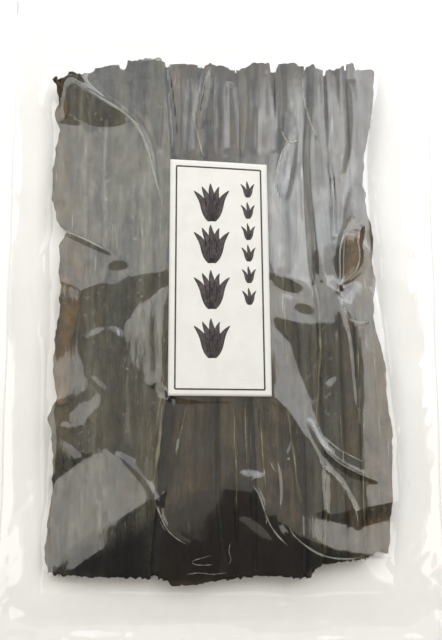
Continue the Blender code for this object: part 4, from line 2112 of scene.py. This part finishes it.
@dataclass(frozen=True)
class FilmFinish:
    """Clear packing film.

    Args:
        facing: share of light that both faces of the film send back head-on.
        pressed: that share where the film lies on the table and clings to it.
        roughness: how soft its reflections are.
        tint: what it lets through.
    """

    facing: float = 0.08
    pressed: float = 0.02
    roughness: float = 0.08
    tint: tuple = (0.992, 0.992, 0.988)

    def build(self) -> bpy.types.Material:
        """Make the material: clear, with a reflection that grows at grazing angles.

        Returns:
            The material.
        """
        tree = NodeTree("film")
        tree.tree.nodes.remove(tree.shader)
        clear = tree.add("ShaderNodeBsdfTransparent")
        clear.inputs["Color"].default_value = (*self.tint, 1.0)
        gloss = tree.add("ShaderNodeBsdfGlossy", distribution="GGX")
        gloss.inputs["Color"].default_value = (1.0, 1.0, 1.0, 1.0)
        gloss.inputs["Roughness"].default_value = self.roughness
        ripple = tree.noise((1.0, 0.3, 1.0), 150, 3.0)
        tree.link(tree.bump(ripple, 0.4, 0.25 * MM), gloss.inputs["Normal"])
        weight = tree.add("ShaderNodeLayerWeight")
        weight.inputs["Blend"].default_value = 0.5
        steep = tree.add("ShaderNodeMath", operation="POWER")
        steep.inputs[1].default_value = 5.0
        tree.link(weight.outputs["Facing"], steep.inputs[0])
        underside = tree.add("ShaderNodeAttribute", attribute_name="underside").outputs["Fac"]
        scuffs = tree.span(tree.noise((1.0, 0.5, 1.0), 210, 8.0, 0.72), 0.32, 0.68, 0.74, 1.26)
        scratches = tree.span(tree.noise((1.0, 0.05, 1.0), 900, 2.0), 0.68, 0.76, 1.0, 1.9)
        facing = tree.span(underside, 0.0, 1.0, self.facing, self.pressed)
        head_on = tree.times(facing, tree.times(scuffs, scratches))
        share = tree.span(steep.outputs[0], 0.0, 1.0, 0.0, 1.0)
        tree.link(head_on, share.node.inputs["To Min"])
        mix = tree.add("ShaderNodeMixShader")
        tree.link(share, mix.inputs["Fac"])
        tree.link(clear.outputs[0], mix.inputs[1])
        tree.link(gloss.outputs[0], mix.inputs[2])
        tree.link(mix.outputs[0], tree.output.inputs["Surface"])
        return tree.material


@dataclass(frozen=True)
class PinchWhiteAndHighlight:
    """Film pinched into several thicknesses, which turns whitish; the whitish colour is partly painted highlight along
    the pinched lines.

    Args:
        white: its colour, partly painted highlight.
        cloudy: how much of what lies beneath it hides.
    """

    white: tuple = (0.58, 0.6, 0.53)
    cloudy: float = 0.42

    def build(self) -> bpy.types.Material:
        """Make the material.

        Returns:
            The material.
        """
        tree = NodeTree("film_pinched_highlight")
        tree.tree.nodes.remove(tree.shader)
        clear = tree.add("ShaderNodeBsdfTransparent")
        # A whitish diffuse layer: partly the film's whitening, partly painted highlight along the pinched lines.
        milky_highlight = tree.add("ShaderNodeBsdfDiffuse")
        milky_highlight.inputs["Color"].default_value = (*self.white, 1.0)
        uneven = tree.span(tree.noise((1.0, 1.0, 1.0), 260, 3.0), 0.3, 0.62, 0.2 * self.cloudy, self.cloudy)
        gathered_and_highlight = tree.add("ShaderNodeAttribute", attribute_name="gathered_and_highlight").outputs["Fac"]
        mix = tree.add("ShaderNodeMixShader")
        tree.link(tree.times(gathered_and_highlight, uneven), mix.inputs["Fac"])
        tree.link(clear.outputs[0], mix.inputs[1])
        tree.link(milky_highlight.outputs[0], mix.inputs[2])
        tree.link(mix.outputs[0], tree.output.inputs["Surface"])
        return tree.material


@dataclass(frozen=True)
class PaperFinish:
    """Uncoated white label paper.

    Args:
        white: its main colour.
        shade: its faint cloudy shade.
    """

    white: tuple = (0.77, 0.76, 0.725)
    shade: tuple = (0.735, 0.72, 0.685)

    def build(self) -> bpy.types.Material:
        """Make the material.

        Returns:
            The material.
        """
        tree = NodeTree("label_paper")
        clouds = tree.noise((1.0, 1.0, 1.0), 140, 5.0)
        fibres = tree.noise((1.0, 1.0, 1.0), 1500, 3.0)
        tree.link(tree.ramp(clouds, ((0.35, self.shade), (0.62, self.white))), tree.shader.inputs["Base Color"])
        tree.shader.inputs["Roughness"].default_value = 0.75
        tree.shader.inputs["Specular IOR Level"].default_value = 0.3
        tree.link(tree.bump(fibres, 0.2, 0.05 * MM), tree.shader.inputs["Normal"])
        return tree.material


@dataclass(frozen=True)
class InkFinish:
    """Dark printing ink, a little uneven as a brush leaves it.

    Args:
        full: where the ink is full.
        dry: where it is dry.
    """

    full: tuple = (0.04, 0.03, 0.03)
    dry: tuple = (0.09, 0.07, 0.068)

    def build(self) -> bpy.types.Material:
        """Make the material.

        Returns:
            The material.
        """
        tree = NodeTree("print_ink")
        patches = tree.noise((1.0, 1.0, 1.0), 520, 4.0)
        tree.link(tree.ramp(patches, ((0.45, self.full), (0.75, self.dry))), tree.shader.inputs["Base Color"])
        tree.shader.inputs["Roughness"].default_value = 0.6
        return tree.material


@dataclass(frozen=True)
class Lamp:
    """A flat soft lamp that faces straight down.

    Args:
        name: its name.
        left: its left side, in metres.
        right: its right side.
        near: its side towards the bag's bottom end.
        far: its other side.
        radiance: how bright its face is.
        colour: its colour.
        height: its height over the table.
    """

    name: str
    left: float
    right: float
    near: float
    far: float
    radiance: float
    colour: tuple = (1.0, 1.0, 1.0)
    height: float = 1.0

    def build(self) -> None:
        """Make the lamp."""
        data = bpy.data.lights.new(self.name, "AREA")
        data.shape = "RECTANGLE"
        data.size = self.right - self.left
        data.size_y = self.far - self.near
        data.energy = self.radiance * math.pi * data.size * data.size_y
        data.color = self.colour
        lamp = bpy.data.objects.new(self.name, data)
        lamp.location = ((self.left + self.right) / 2, (self.near + self.far) / 2, self.height)
        lamp.visible_camera = False
        bpy.context.scene.collection.objects.link(lamp)


LAMPS = (
    Lamp("key", -1.2, 1.2, 0.215, 1.4, 1.5, (0.94, 0.97, 1.0), height=1.0),
    Lamp("ceiling", -1.2, 1.2, -0.35, 0.215, 0.5, (1.0, 0.93, 0.8), height=1.0),
    Lamp("key_left", -1.2, -0.2, 0.215, 1.2, 0.76, (1.0, 0.91, 0.68), height=0.98),
    Lamp("key_right", 0.04, 1.2, 0.215, 0.9, 0.78, (0.94, 0.97, 1.0), height=0.98),
    Lamp("key_further_right", 0.16, 1.1, 0.215, 0.86, 0.7, height=0.96),
    Lamp("key_far_right", 0.28, 1.0, 0.215, 0.8, 0.9, height=0.94),
    Lamp("veil", 0.06, 1.0, 0.215, 0.38, 1.2, (0.97, 0.99, 1.0), height=0.92),
    Lamp("key_right_low", 0.08, 1.0, 0.09, 0.215, 2.1, height=0.98),
    Lamp("left_side", -0.9, -0.45, -0.9, 0.215, 1.6, (1.0, 0.98, 0.93), height=0.96),
    Lamp("right_side", 0.45, 0.9, -0.3, 0.09, 1.8, (1.0, 0.96, 0.9), height=0.96),
    Lamp("window", -0.5, 0.5, 0.5, 0.7, 3.4, height=0.35),
)


class Studio:
    """Pale table, soft lamps and the camera."""

    WORLD = (0.12, 0.117, 0.112)
    TILT = math.radians(8.5)
    CAMERA = (0.0, -0.06828, 0.41539)
    LENS = 51.6
    FLOOR_SIZE = 6.0

    def build_floor(self) -> bpy.types.Object:
        """Make the table.

        Returns:
            The stage piece.
        """
        half = self.FLOOR_SIZE / 2
        floor = sheet_mesh("table", 8, 8, lambda u, v: (u * half, v * half, u * 0.0 - 0.3 * MM))
        tree = NodeTree("table")
        cloud = tree.noise((1.0, 1.0, 1.0), 3.0, 2.0)
        pale = ((0.3, (0.96, 0.945, 0.93)), (0.7, (0.975, 0.96, 0.945)))
        tree.link(tree.ramp(cloud, pale), tree.shader.inputs["Base Color"])
        tree.shader.inputs["Roughness"].default_value = 0.85
        tree.shader.inputs["Specular IOR Level"].default_value = 0.1
        floor.data.materials.append(tree.material)
        return floor

    def build_camera(self) -> None:
        """Make the camera that looks down on the bag, a little towards its top end."""
        data = bpy.data.cameras.new("camera")
        data.lens = self.LENS
        data.sensor_width = 36.0
        camera = bpy.data.objects.new("camera", data)
        camera.location = self.CAMERA
        camera.rotation_euler = (self.TILT, 0.0, 0.0)
        bpy.context.scene.collection.objects.link(camera)
        bpy.context.scene.camera = camera

    def build_world(self) -> None:
        """Make the dim room that surrounds the lamps."""
        world = bpy.data.worlds.new("room")
        world.use_nodes = True
        background = world.node_tree.nodes["Background"]
        background.inputs["Color"].default_value = (*self.WORLD, 1.0)
        background.inputs["Strength"].default_value = 1.0
        bpy.context.scene.world = world
        bpy.context.scene.view_settings.view_transform = "Standard"

    def build(self) -> None:
        """Make everything round the bag."""
        self.build_floor()
        self.build_camera()
        self.build_world()
        for lamp in LAMPS:
            lamp.build()


def finish_piece(piece: bpy.types.Object, node: str) -> None:
    """Tie a piece to the frame.

    Args:
        piece: the piece.
        node: the CAD node that it stands for.
    """
    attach(piece, "root")
    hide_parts(node)


def main() -> None:
    """Dress the frame."""
    logging.basicConfig(level=logging.INFO)
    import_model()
    low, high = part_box("film_bag")
    form = BagForm(high[0] - low[0], high[1] - low[1])
    surface = FilmSurface(form)

    envelope = FilmEnvelope(surface)
    for piece, finish in ((envelope.build(), FilmFinish()), (envelope.build_pinches(), PinchWhiteAndHighlight())):
        piece.data.materials.append(finish.build())
        finish_piece(piece, "film_bag")

    skin = KelpSkin().tree
    finishes = {tone: finish.build(f"kelp_{tone.value}", skin) for tone, finish in KELP_FINISHES.items()}
    for piece in KelpBundle(surface, finishes).build():
        finish_piece(piece, "film_bag")

    label = PaperLabel(surface)
    paper = label.build_paper()
    paper.data.materials.append(PaperFinish().build())
    finish_piece(paper, "label")
    ink = InkFinish().build()
    for name, marks in (("print_frame", label.build_frame()), ("print_motifs", label.build_marks())):
        printed = join(name, marks)
        printed.data.materials.append(ink)
        finish_piece(printed, "label")

    Studio().build()


if __name__ == "__main__":
    main()
